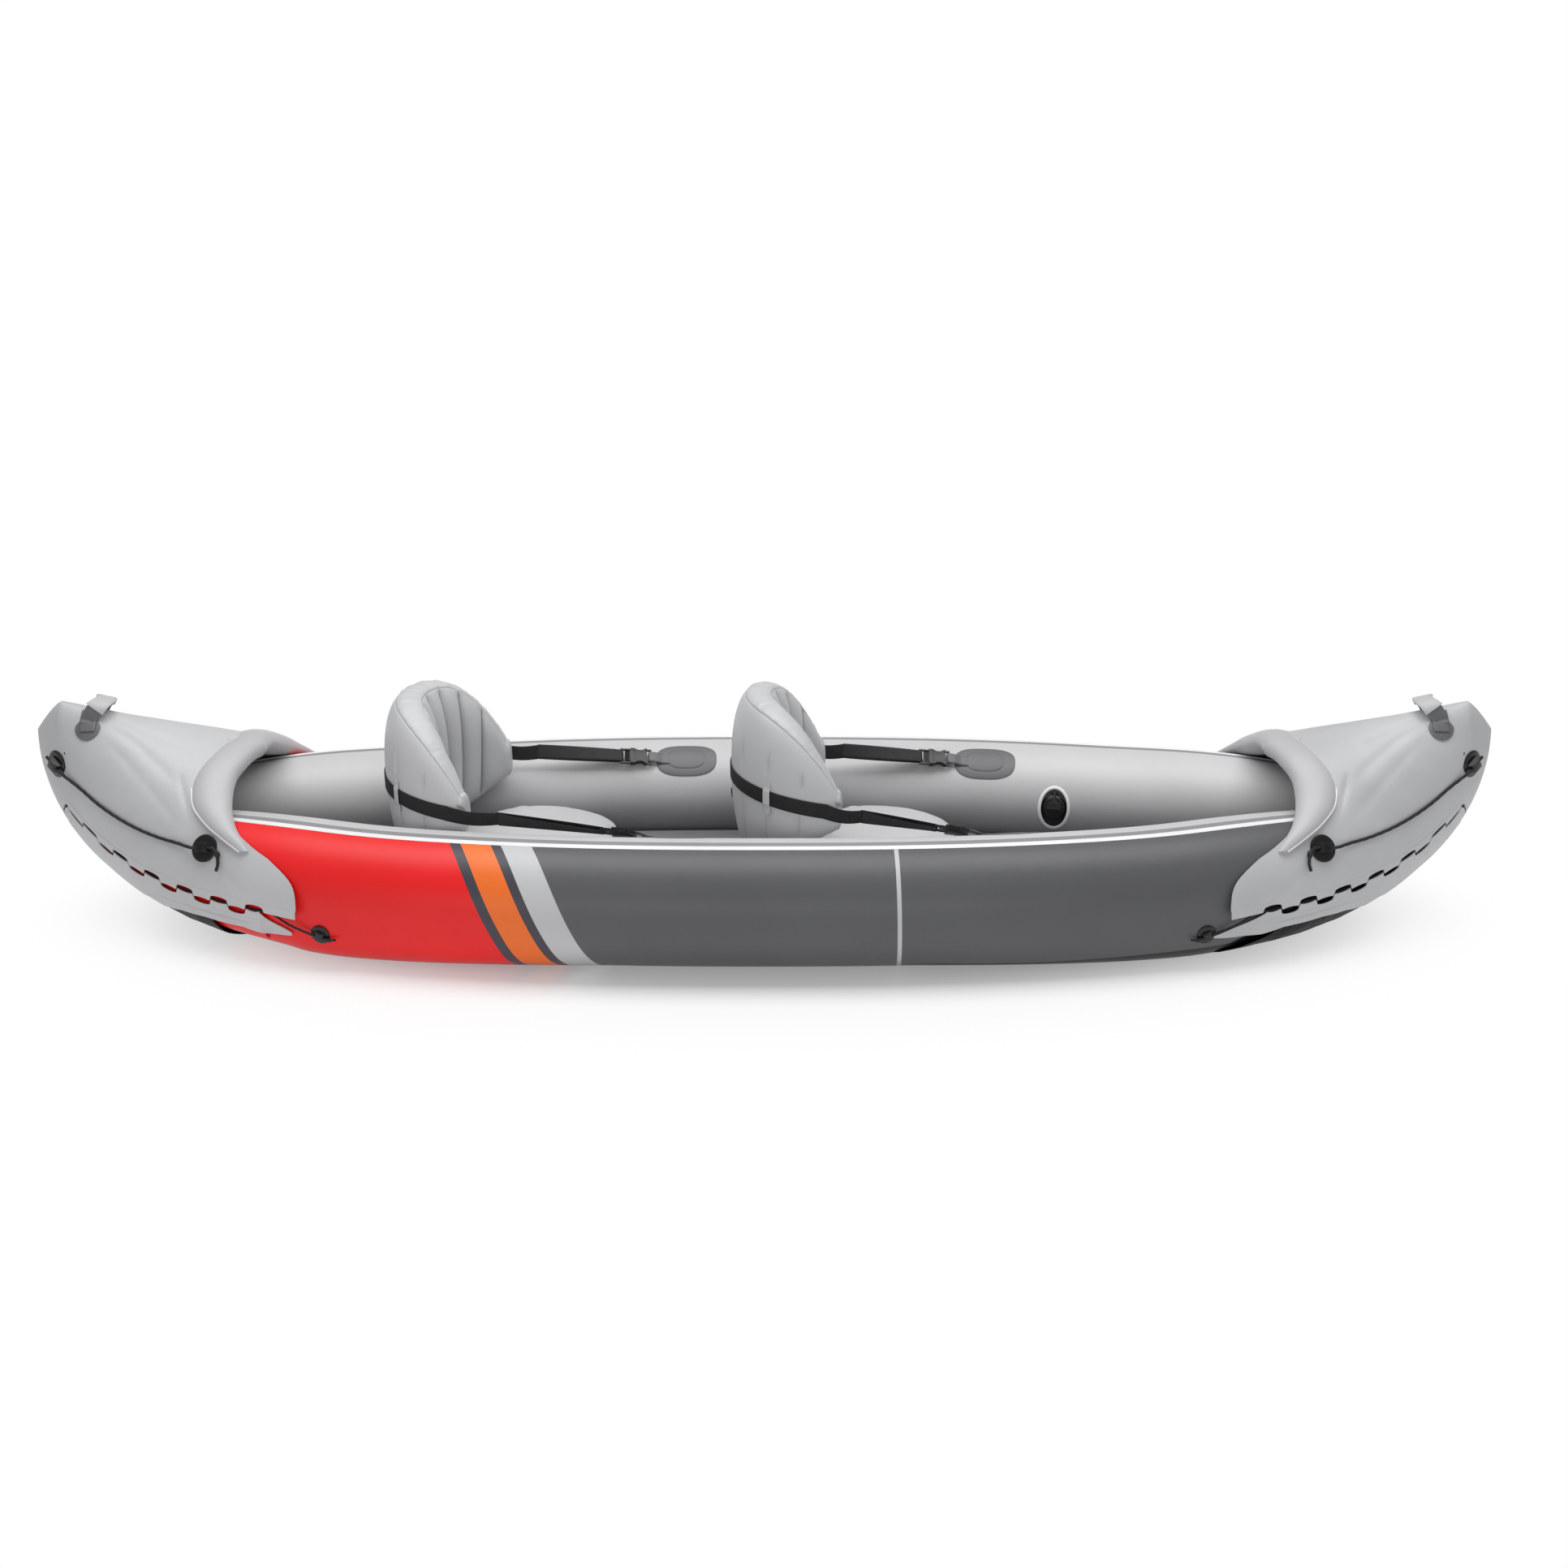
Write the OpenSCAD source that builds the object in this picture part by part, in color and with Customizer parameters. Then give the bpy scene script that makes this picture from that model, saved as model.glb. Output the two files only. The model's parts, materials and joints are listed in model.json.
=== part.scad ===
// Inflatable two-seat kayak. Millimetres, X along the boat with the bow at +X, Z up.

/* [Hull] */
// length from nose to nose
hull_length = 3120; // [2900:10:3300]
// width across the two side chambers
hull_beam = 910; // [860:5:960]
// diameter of a side chamber at mid length
chamber_d = 260; // [240:2:280]
// how far the ends of the side chambers lift
chamber_lift = 40; // [30:1:50]
// height of the deck ridge at the noses
nose_height = 455; // [430:1:480]

/* [Floor] */
// thickness of the inflated floor
floor_t = 92; // [76:1:100]
// swell of each floor cell between its webs
cell_swell = 11; // [6:1:16]
// thickness of the flat bottom panel
panel_t = 1.5; // [1:0.1:3]
// thickness of the floor webs
web_t = 1.2; // [0.8:0.1:2]

/* [Covers] */
// fabric thickness of the spray covers and keel wraps
cover_t = 2.4; // [1.6:0.1:3.2]
// number of lacing tabs on each side of a cover
lace_tabs = 6; // [4:1:7]
// gap between the laced tabs
lace_gap = 5; // [3:0.5:7]
// half width of the inflated cockpit rim
rim_half_w = 44; // [36:1:50]
// half height of the inflated cockpit rim
rim_half_h = 36; // [28:1:40]

/* [Seats] */
// place of the rear seat along the boat
rear_seat_x = -680; // [-720:5:-640]
// place of the front seat along the boat
front_seat_x = 60; // [20:5:100]
// length of a seat cushion
cushion_l = 360; // [320:5:390]
// half width of a seat cushion
cushion_half_w = 160; // [140:1:165]
// height of a seat cushion at its crown
cushion_h = 86; // [70:1:95]
// half width of a backrest along its middle
back_half_w = 176; // [165:1:178]
// height of the top of a backrest above the ground
back_top = 481; // [460:1:510]
// thickness of a backrest at its middle
back_t = 120; // [104:1:124]
// how far the wings of a backrest come forward
back_wrap = 150; // [130:1:165]
// number of welded channels across a backrest
back_channels = 8; // [6:2:8]
// turn of the rear backrest in its straps, seen from above
rear_turn = -7; // [-8:1:8]
// turn of the front backrest in its straps, seen from above
front_turn = 5; // [-8:1:8]

/* [Straps] */
// width of the seat webbing
strap_w = 32; // [25:1:38]
// thickness of the seat webbing
strap_t = 2; // [1.4:0.1:2.6]
// place of the rear strap patches along the boat
rear_patch_x = -185; // [-215:5:-160]
// place of the front strap patches along the boat
front_patch_x = 510; // [480:5:545]
// length of a strap patch
patch_l = 140; // [120:2:150]
// angle that a strap patch covers on its chamber
patch_arc = 38; // [32:1:42]
// width of a side release buckle
buckle_w = 40; // [36:1:46]
// thickness of a side release buckle
buckle_h = 12; // [10:0.5:14]

/* [Fittings] */
// diameter of the grab line
grab_d = 7; // [6:0.5:8]
// diameter of the lacing cord
lace_d = 5; // [4:0.5:6]
// diameter of a rope eyelet's pad
eyelet_d = 58; // [50:1:64]
// height of an air valve's oval flange
valve_d = 86; // [80:1:92]
// width of an air valve's oval flange
valve_w = 60; // [56:1:66]
// place of the side air valves along the boat
valve_x = 675; // [650:5:700]
// lift of the valve cap for each turn
valve_pitch = 3; // [2:0.5:4]
// width of a carry handle's webbing
handle_w = 38; // [32:1:44]
// height of a carry handle's grip above the ridge
handle_rise = 24; // [20:1:30]
// how far a carry handle's grip leans towards the cockpit
handle_lean = 26; // [15:1:32]

/* [Clearances] */
// room between pieces that lie on each other
seat_gap = 0.3; // [0.2:0.05:0.5]
// room round a sliding or turning piece
run_gap = 0.3; // [0.2:0.05:0.5]
// room round a rope in its eyelet
rope_gap = 0.7; // [0.5:0.1:1.2]

/* [Hidden] */
half_len = hull_length/2;
chamber_r = chamber_d/2;
chamber_off = hull_beam/2 - chamber_r;
plan_len = half_len*0.9615;
taper_start = half_len*0.577;
chamber_tip = half_len*0.91;
lift_start = half_len*0.449;
base_z = panel_t + seat_gap;
chamber_sides = 24;
chamber_rings = 17;
floor_end = half_len*0.775;
floor_top = base_z + floor_t;
panel_end = half_len*0.83;
keel_start = half_len*0.705;
nose_cut = half_len*0.9615;
nose_drop = 66;
nose_tip_z = nose_height - nose_drop;
ridge_slope = 0.2286;
lace_tab_h = 11;
cover_cols = 7;
lace_start = half_len*0.647;
lace_end = half_len*0.955;
stem_x = half_len*0.976;
seam_half = 0.3;
patch_angle = 35;
back_bottom = floor_top + 24;
back_span = 80;
recline_x = -100;
recline_z = back_bottom + 8;
handle_x = half_len*0.919;
anchor_x = half_len*0.553;
valve_angle = 80;
bar_d = 5;
patch_t = 1.6;
patch_lie = seat_gap + 0.6;
red = [0.85, 0.22, 0.22];
dark = [0.38, 0.38, 0.39];
light = [0.80, 0.80, 0.81];
black = [0.10, 0.10, 0.11];
orange = [0.93, 0.47, 0.15];

// small helpers
function lerp(a, b, t) = a + (b - a)*t;
function clamp(v, lo, hi) = min(hi, max(lo, v));
function unit(v) = v/norm(v);
function mean(list) = [for (k = [0:2]) [for (p = list) p[k]]*[for (p = list) 1]/len(list)];
function power(v, e) = sign(v)*pow(abs(v), e);
function pick(table, a, i = 0) =
  i >= len(table) - 2 || a <= table[i + 1][0]
    ? lerp(table[i][1], table[i + 1][1],
        clamp((a - table[i][0])/(table[i + 1][0] - table[i][0]), 0, 1))
    : pick(table, a, i + 1);
function flip_y(list) = [for (p = list) [p[0], -p[1], p[2]]];

// frame with its origin at o, its x axis along d and its z axis near n
function frame_at(o, d, n) =
  let (x = unit(d), y = unit(cross(n, x)), z = cross(x, y))
  [[x[0], y[0], z[0], o[0]], [x[1], y[1], z[1], o[1]], [x[2], y[2], z[2], o[2]], [0, 0, 0, 1]];

// a closed skin over rings of points, with a fan at each end
module skin(rings, turn = false) {
  n = len(rings);
  m = len(rings[0]);
  points = concat([for (r = rings) each r], [mean(rings[0]), mean(rings[n - 1])]);
  sides = [for (i = [0:n - 2], j = [0:m - 1])
    let (a = i*m + j, b = i*m + (j + 1)%m, c = a + m, d = b + m)
    each [[a, b, d], [a, d, c]]];
  ends = [for (j = [0:m - 1])
    let (k = (j + 1)%m)
    each [[n*m, k, j], [n*m + 1, (n - 1)*m + j, (n - 1)*m + k]]];
  faces = concat(sides, ends);
  polyhedron(points, turn ? [for (f = faces) [f[0], f[2], f[1]]] : faces);
}

// a sheet with thickness between two grids of points
module sheet(outer, inner, turn = false) {
  n = len(outer);
  m = len(outer[0]);
  points = concat([for (r = outer) each r], [for (r = inner) each r]);
  skins = [for (i = [0:n - 2], j = [0:m - 2])
    let (a = i*m + j, b = a + 1, c = a + m, d = c + 1, k = n*m)
    each [[a, b, d], [a, d, c], [k + a, k + d, k + b], [k + a, k + c, k + d]]];
  sides = [for (i = [0:n - 2])
    let (a = i*m, c = a + m, b = a + m - 1, d = b + m, k = n*m)
    each [[a, c, k + c], [a, k + c, k + a], [b, k + d, d], [b, k + b, k + d]]];
  ends = [for (j = [0:m - 2])
    let (a = j, b = j + 1, c = (n - 1)*m + j, d = c + 1, k = n*m)
    each [[a, k + b, b], [a, k + a, k + b], [c, d, k + d], [c, k + d, k + c]]];
  faces = concat(skins, sides, ends);
  polyhedron(points, turn ? [for (f = faces) [f[0], f[2], f[1]]] : faces);
}

// a sleeve between two skins of rings, open at both ends
module sleeve(outer, inner) {
  n = len(outer);
  m = len(outer[0]);
  points = concat([for (r = outer) each r], [for (r = inner) each r]);
  faces = concat([for (i = [0:n - 2], j = [0:m - 1])
      let (a = i*m + j, b = i*m + (j + 1)%m, c = a + m, d = b + m, k = n*m)
      each j == 2
        ? [[a, c, b], [b, c, d], [k + a, k + b, k + c], [k + b, k + d, k + c]]
        : [[a, d, b], [a, c, d], [k + a, k + b, k + d], [k + a, k + d, k + c]]],
    [for (j = [0:m - 1])
      let (a = j, b = (j + 1)%m, c = (n - 1)*m + a, d = (n - 1)*m + b, k = n*m)
      each [[a, b, k + b], [a, k + b, k + a], [c, k + d, d], [c, k + c, k + d]]]);
  polyhedron(points, faces);
}

// the four corners of a strap at one point of its path
function strap_ring(path, wide, i, w, t) =
  let (n = len(path), along = unit(path[min(i + 1, n - 1)] - path[max(i - 1, 0)]),
    across = unit(wide[i] - along*(wide[i]*along))*w/2, up = unit(cross(along, across))*t/2)
  [path[i] + up + across, path[i] + up - across, path[i] - up - across, path[i] - up + across];

// a flat strap along a path, with the direction of its width at each point
module ribbon(path, wide, w, t) {
  rings = [for (i = [0:len(path) - 1]) strap_ring(path, wide, i, w, t)];
  sheet([for (r = rings) [r[0], r[1]]], [for (r = rings) [r[3], r[2]]], true);
}

// a round cord along a path, with a radius at each point
module cord(path, radii, sides = 8) {
  n = len(path);
  skin([for (i = [0:n - 1])
    let (along = unit(path[min(i + 1, n - 1)] - path[max(i - 1, 0)]),
      across = unit(cross(along, abs(along[2]) > 0.85 ? [0, 1, 0] : [0, 0, 1])),
      up = cross(along, across))
    [for (j = [0:sides - 1])
      path[i] + radii[i]*(across*cos(360*j/sides) + up*sin(360*j/sides))]], true);
}

// side chambers: centreline, radius and a point on the skin
function chamber_y(x) = chamber_off*(1 - pow(abs(x)/plan_len, 2.45));
function chamber_z(x) =
  base_z + chamber_r + chamber_lift*pow(max(0, abs(x) - lift_start)/lift_start, 2);
function chamber_rad(x) =
  let (t = max(0, abs(x) - taper_start)/(chamber_tip - taper_start))
  min(chamber_r*sqrt(max(0.0006, 1 - t*t)), chamber_y(x)*0.9 - 1);
function chamber_mid(x, side) = [x, side*chamber_y(x), chamber_z(x)];
function chamber_dir(x, side) = unit(chamber_mid(x + 1, side) - chamber_mid(x - 1, side));
function ring_x(k) = chamber_tip*0.9996*sin(90*k/chamber_rings);

// a is measured from the crown towards the cockpit
belly_table = [[0.19, 0], [0.51, 0.15], [0.58, 0.15], [0.615, 0.10], [0.70, 0.06], [0.83, 0]];
function belly(x, a) =
  let (w = a < 0 ? a + 360 : a)
  w > 180 && w < 270 ? pick(belly_table, abs(x)/half_len)*pow(sin(2*w), 2) : 0;
function ring_pt(x, side, a, off = 0) =
  let (d = chamber_dir(x, side), s = unit(cross([0, 0, 1], d)), u = cross(d, s),
    inward = s*(-side))
  chamber_mid(x, side)
    + (chamber_rad(x)*(1 + belly(x, a)) + off)*(inward*sin(a) + u*cos(a));
function chamber_pt(x, side, a, off = 0) =
  let (k = asin(clamp(x/(chamber_tip*0.9996), -1, 1))*chamber_rings/90,
    i = clamp(floor(k), -chamber_rings, chamber_rings - 1),
    t = (x - ring_x(i))/(ring_x(i + 1) - ring_x(i)))
  lerp(ring_pt(ring_x(i), side, a, off), ring_pt(ring_x(i + 1), side, a, off), t);
function chamber_normal(x, side, a) =
  unit(cross(chamber_pt(x + 6, side, a) - chamber_pt(x - 6, side, a),
    chamber_pt(x, side, a + 3) - chamber_pt(x, side, a - 3)))*(-side);

// the pointed form of the ends, at a distance x from the middle
function keel_z(x) =
  let (t = clamp((x - keel_start)/(half_len - keel_start), 0, 1))
  nose_tip_z*(1 - pow(1 - pow(t, 2.35), 1/2.35));
function ridge_z(x) =
  x > nose_cut
    ? nose_height - nose_drop*0.97*pow((x - nose_cut)/(half_len - nose_cut), 1.3)
    : nose_height - ridge_slope*(nose_cut - x);
function form_w(x) = hull_beam/2*(1 - pow(x/half_len, 3.3)) + 2;
function widest_z(x) = keel_z(x) + 0.38*(ridge_z(x) - keel_z(x));
power_table = [[0.609, 4.2], [0.673, 3.7], [0.737, 2.9], [0.82, 2.25], [0.904, 1.8]];
function low_power(x) = pick(power_table, x/half_len);
function high_power(x) = lerp(2, 1.7, clamp((x - half_len*0.628)/(half_len*0.115), 0, 1));
function form_pt(x, a, off = 0, side = 1) =
  let (n = a < 0 ? low_power(x) : high_power(x),
    h = a < 0 ? widest_z(x) - keel_z(x) : ridge_z(x) - widest_z(x))
  [x, side*max(a < -80 ? seam_half : 0, (form_w(x) + off)*pow(max(0, cos(a)), 2/n)),
    widest_z(x) + (h + off)*power(sin(a), 2/n)];
function lace_drop(x) =
  let (bend = clamp((x - lace_end)/(stem_x - lace_end), 0, 1))
  lerp(lerp(11, 22, clamp((x - lace_start)/(lace_end - lace_start), 0, 1)),
    widest_z(x) - keel_z(x), bend*bend);
function drop_angle(x, drop) =
  -asin(pow(clamp(drop/(widest_z(x) - keel_z(x)), 0, 1), low_power(x)/2));
function edge_angle(x) = drop_angle(x, lace_drop(x));
function cover_angle(j, x) = lerp(edge_angle(x), 90, j/cover_cols);
function cover_pt(x, a, off = 0, side = 1) =
  let (low = edge_angle(x),
    k = clamp((a - low)/(90 - low)*cover_cols, 0, cover_cols - 0.001),
    i = floor(k))
  lerp(form_pt(x, cover_angle(i, x), off, side), form_pt(x, cover_angle(i + 1, x), off, side),
    k - i);
function cover_normal(x, a, side = 1) =
  unit(cross(cover_pt(x + 4, a, 0, side) - cover_pt(x - 4, a, 0, side),
    cover_pt(x, a + 3, 0, side) - cover_pt(x, a - 3, 0, side)))*(-side);

// lacing line: the tabs of cover and keel wrap step up and down along it
lace_pitch = (lace_end - lace_start)/lace_tabs;
function lace_step(x) =
  x <= lace_start || x >= lace_end ? 0
    : let (p = (x - lace_start)/lace_pitch, f = p - floor(p), w = 2/lace_pitch)
      f < w ? f/w : f < 0.5 - w ? 1 : f < 0.5 + w ? (0.5 + w - f)/w - 1
        : f < 1 - w ? -1 : (f - 1)/w;
function lace_angle(x, shift) = drop_angle(x, lace_drop(x) - lace_tab_h/2*lace_step(x) + shift);
lace_x = [for (k = [0:lace_tabs*2])
  each [lace_start + k*lace_pitch/2 - 1.9, lace_start + k*lace_pitch/2 + 1.9]];

// side chambers
module side_chamber(side) {
  difference() {
    skin([for (k = [-chamber_rings:chamber_rings])
      [for (j = [0:chamber_sides - 1])
        ring_pt(ring_x(k), side, 360*j/chamber_sides)]], side > 0);
    multmatrix(valve_frame(side)) {
      translate([0, 0, -valve_seat])
        valve_oval(valve_w + 2*seat_gap, valve_d + 2*seat_gap, valve_seat + 40);
      translate([0, 0, -valve_depth - seat_gap])
        cylinder(r = valve_neck_r + seat_gap, h = valve_depth, $fn = 48);
    }
  }
}

module side_chamber_port() { color(light) side_chamber(1); }
module side_chamber_starboard() { color(red) side_chamber(-1); }

// welded seams along the crowns of the side chambers
seam_rings = 10;
module gunwale_seams() {
  color(light)
    for (side = [-1, 1]) {
      skin([for (k = [-seam_rings:seam_rings])
        let (x = ring_x(k))
        [chamber_pt(x, side, -13, seat_gap + 1.4), chamber_pt(x, side, -8, seat_gap + 1.6),
          chamber_pt(x, side, -8, seat_gap), chamber_pt(x, side, -13, seat_gap)]], side > 0);
    }
}

// inflated floor: cells side by side with a web between each pair
cell_edges = [-1, -0.6, -0.2, 0.2, 0.6, 1];
function chamber_half(x, side = 1) = chamber_rad(x)/chamber_dir(x, side)[0];
function floor_half(x) = max(12, chamber_y(x) - 0.985*chamber_half(x) - 2);
function floor_high(x) = floor_t*pow(max(0, 1 - pow(abs(x)/(floor_end + 12), 10)), 0.5);
floor_x = [for (k = [-6:6]) floor_end*sin(15*k)];
function cell_ring(x, from, to) =
  let (w = floor_half(x), h = floor_high(x), low = base_z + (floor_t - h)*0.25,
    y0 = from*w + (from > -1 ? web_t/2 + seat_gap : 0),
    y1 = to*w - (to < 1 ? web_t/2 + seat_gap : 0),
    s = min(cell_swell, h*0.3))
  concat([for (t = [0:1/3:1]) [x, lerp(y0, y1, t), low + s*(pow(2*t - 1, 2) - 1/9)]],
    [for (t = [1:-1/3:0]) [x, lerp(y0, y1, t), low + h - s*(pow(2*t - 1, 2) - 1/9)]]);
module floor_cells() {
  color(light)
    for (k = [0:4]) {
      skin([for (x = floor_x) cell_ring(x, cell_edges[k], cell_edges[k + 1])], true);
    }
}
module floor_webs() {
  color(light)
    for (k = [1:4]) {
      skin([for (x = floor_x)
        let (y = cell_edges[k]*floor_half(x), h = floor_high(x), s = min(cell_swell, h*0.3),
          low = base_z + (floor_t - h)*0.25 + s, high = base_z + (floor_t - h)*0.25 + h - s)
        [[x, y - web_t/2, low], [x, y + web_t/2, low], [x, y + web_t/2, high],
          [x, y - web_t/2, high]]], true);
    }
}

// flat bottom panel, the face that the boat rests on
function panel_half(x) = (chamber_y(x) + 18)*(1 - 0.5*pow(abs(x)/panel_end, 16));
module bottom_panel() {
  edge = [for (k = [-24:24]) let (x = panel_end*sin(90*k/24)) [x, panel_half(x)]];
  color(black)
    linear_extrude(panel_t)
      polygon(concat(edge, [for (k = [48:-1:0]) [edge[k][0], -edge[k][1]]]));
}

// spray covers
edge_table = [[-10, 0.605], [5, 0.601], [16, 0.609], [25, 0.641], [28, 0.664], [34, 0.702],
  [39, 0.742], [50, 0.757], [63, 0.755], [90, 0.754]];
function cover_edge(a) = half_len*pick(edge_table, a);
function cover_grid(off, tip) =
  let (cols = [for (j = [0:2*cover_cols]) j],
    nose = [for (t = [1:4]) lerp(lace_end + 2, tip, sin(90*t/4))],
    front = lace_start - 2)
  [for (r = concat([0, 0.5], [for (x = lace_x) x], nose))
    [for (j = cols)
      let (side = j < cover_cols ? -1 : 1,
        f = j < cover_cols ? j/cover_cols : (2*cover_cols - j)/cover_cols,
        nominal = lerp(-4, 90, f),
        first = cover_edge(nominal),
        x = r < 1 ? lerp(first, max(first + 8, front), r)
          : first > front - 8 ? lerp(first + 16, tip, (r - front)/(tip - front)) : r,
        a = f == 0 ? lace_angle(x, -lace_gap/2) : lerp(edge_angle(x), 90, f))
      form_pt(x, a, off, side)]];
module deck_cover() {
  color(light) sheet(cover_grid(cover_t, half_len), cover_grid(0, half_len - 8));
}
module bow_cover() { deck_cover(); }
module stern_cover() { mirror([1, 0, 0]) deck_cover(); }

// keel wraps, one half on each side of the keel seam
wrap_tip = half_len*0.612;
function wrap_top(x) =
  x > lace_start ? lace_angle(x, lace_gap/2 + (x > lace_end + 4 ? 6 : 0))
    : lerp(-9, edge_angle(x) - 1.5, pow((x - wrap_tip)/(lace_start - wrap_tip), 0.7));
function wrap_low(x) =
  pick([[wrap_tip, -14], [half_len*0.68, -19], [half_len*0.737, -23], [half_len*0.77, -46],
    [half_len*0.81, -75], [half_len*0.83, -89.9], [half_len, -89.9]], x);
wrap_x = concat([for (t = [0:3]) lerp(wrap_tip, lace_start - 4, t/3)], lace_x,
  [lerp(lace_end, stem_x, 0.5)]);
function wrap_grid(off, side) =
  [for (x = wrap_x) [for (j = [0:3]) form_pt(x, lerp(wrap_top(x), wrap_low(x), j/3), off, side)]];
module keel_wrap() {
  color(light)
    for (side = [-1, 1]) {
      sheet(wrap_grid(cover_t, side), wrap_grid(0, side), side < 0);
    }
}
module bow_keel_wrap() { keel_wrap(); }
module stern_keel_wrap() { mirror([1, 0, 0]) keel_wrap(); }

// inflated rims round the cockpit ends of the covers
rim_low = 29;
rim_mid = [[28, 0.670], [36, 0.694], [45, 0.712], [60, 0.722], [90, 0.721]];
rim_size = [[28, 0.12], [31, 0.30], [36, 0.52], [45, 0.80], [60, 0.98], [90, 1]];
rim_lift = [[36, 1], [43, 0.1], [50, -0.4], [62, -0.65], [90, -0.75]];
function rim_ring(a, side) =
  let (x = half_len*pick(rim_mid, a), size = pick(rim_size, a),
    h = rim_half_h*size, w = rim_half_w*size,
    lift = pick(rim_lift, a)*(h + cover_t + 2*seat_gap),
    p = form_pt(x, a, 0, side),
    t = form_pt(x, min(90, a + 1), 0, side) - form_pt(x, a - 1, 0, side),
    n = a > 89 ? [0, 0, 1] : unit([0, side*t[2], -side*t[1]]))
  [for (k = [0:9])
    p + n*(lift + h*power(sin(36*k), 0.9)) + [1, 0, 0]*w*power(cos(36*k), 0.9)];
rim_steps = 11;
module cockpit_rim() {
  near = [for (k = [0:rim_steps]) rim_ring(lerp(rim_low, 90, k/rim_steps), -1)];
  color(light)
    skin(concat(near, [for (k = [rim_steps - 1:-1:0]) flip_y(near[k])]));
}
module bow_rim() { cockpit_rim(); }
module stern_rim() { mirror([1, 0, 0]) cockpit_rim(); }

// eyelets: a round pad with an angular rope loop moulded on it
loop_z = 3 + grab_d/2 + rope_gap + 2.5;
module eyelet(rope_d) {
  s = rope_d/grab_d;
  difference() {
    union() {
      cylinder(d = eyelet_d*s, h = 2, $fn = 48);
      translate([0, 0, 2]) cylinder(d1 = eyelet_d*s, d2 = eyelet_d*s*0.86, h = 1.4, $fn = 48);
      rotate([90, 0, 0])
        translate([0, 0, -10*s])
          linear_extrude(20*s)
            polygon([[-19*s, 2], [19*s, 2], [13*s, 13*s], [7*s, loop_z*s + 7*s],
              [-9*s, loop_z*s + 7*s], [-15*s, 10*s]]);
    }
    translate([-40, 0, loop_z*s]) rotate([0, 90, 0])
      cylinder(d = rope_d + 2*rope_gap, h = 80, $fn = 32);
  }
}
nose_eye_x = half_len*0.967;
side_eye_x = half_len*0.7315;
nose_eye_angle = cover_angle(3, nose_eye_x);
side_eye_angle = cover_angle(2, side_eye_x);
function eye_frame(x, a, drop, side) =
  let (o = cover_pt(x, a, cover_t + seat_gap + 0.5, side),
    d = cover_pt(x - 20, a + drop, 0, side) - cover_pt(x, a, 0, side))
  frame_at(o, d, cover_normal(x, a, side));
function nose_eye(side) = eye_frame(nose_eye_x, nose_eye_angle, -1.2, side);
function side_eye(side) = eye_frame(side_eye_x, side_eye_angle, 1, side);
module nose_eyelets() {
  color(black)
    for (end = [0, 1], side = [-1, 1]) {
      mirror([end, 0, 0]) multmatrix(nose_eye(side)) eyelet(grab_d);
    }
}
module side_eyelets() {
  color(black)
    for (end = [0, 1], side = [-1, 1]) {
      mirror([end, 0, 0]) multmatrix(side_eye(side)) eyelet(grab_d);
    }
}
function anchor_frame(side) =
  frame_at(chamber_pt(anchor_x, side, -113, seat_gap),
    chamber_pt(anchor_x - 20, side, -115, 0) - chamber_pt(anchor_x, side, -113, 0),
    chamber_normal(anchor_x, side, -113));
module lacing_eyelets() {
  color(black)
    for (end = [0, 1], side = [-1, 1]) {
      mirror([end, 0, 0]) multmatrix(anchor_frame(side)) eyelet(lace_d);
    }
}

// grab lines, from a short tail at the nose to a knotted tail below the side eyelet
function place(m, p) = [for (k = [0:2]) m[k][0]*p[0] + m[k][1]*p[1] + m[k][2]*p[2] + m[k][3]];
function grab_path(side) =
  let (a = nose_eye(side), b = side_eye(side),
    lie = cover_t + grab_d/2 + 1.2)
  concat([place(a, [-26, 0, loop_z]), place(a, [0, 0, loop_z]), place(a, [24, 0, loop_z])],
    [for (t = [0.17:0.11:0.85])
      cover_pt(lerp(nose_eye_x, side_eye_x, t),
        lerp(nose_eye_angle, side_eye_angle, t) - 2.5*sin(180*t), lie, side)],
    [place(b, [-28, 0, loop_z]), place(b, [0, 0, loop_z]), place(b, [22, 0, loop_z]),
      place(b, [30, -side*4, loop_z]), place(b, [37, -side*14, loop_z - 2]),
      place(b, [40, -side*30, loop_z - 4]), place(b, [38, -side*48, loop_z - 5])]);
grab_knot = 1.75;
module grab_line(side) {
  path = grab_path(side);
  n = len(path);
  cord(path, [for (i = [0:n - 1]) grab_d/2*(i == n - 4 || i == n - 3 ? grab_knot : 1)]);
}
module grab_line_bow_port() { color(black) grab_line(1); }
module grab_line_bow_starboard() { color(black) grab_line(-1); }
module grab_line_stern_port() { color(black) mirror([1, 0, 0]) grab_line(1); }
module grab_line_stern_starboard() { color(black) mirror([1, 0, 0]) grab_line(-1); }

// lacing cords, behind the tabs and out to an eyelet on each side chamber
function lace_run(x, side) = form_pt(x, edge_angle(x), -lace_d/2 - 1.8, side);
function lace_path(side) =
  let (b = anchor_frame(side), s = lace_d/grab_d)
  concat([for (t = [0:1/16:1])
      lace_run(lerp(lace_end - 8, lace_start - 14, t), side)],
    [lerp(lace_run(lace_start - 14, side),
        place(b, [-20*s - 14, 0, loop_z*s]), 0.55) + [0, side*5, 0],
      place(b, [-20*s - 4, 0, loop_z*s]), place(b, [0, 0, loop_z*s]),
      place(b, [22*s, 0, loop_z*s]), place(b, [27*s, 0, loop_z*s]), place(b, [33*s, 0, loop_z*s]),
      place(b, [50*s, side*8, loop_z*s])]);
module lacing() {
  color(black)
    for (side = [-1, 1]) {
      path = lace_path(side);
      n = len(path);
      cord(path, [for (i = [0:n - 1]) lace_d/2*(i == n - 3 || i == n - 2 ? grab_knot : 1)], 6);
    }
}
module bow_lacing() { lacing(); }
module stern_lacing() { mirror([1, 0, 0]) lacing(); }

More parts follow.
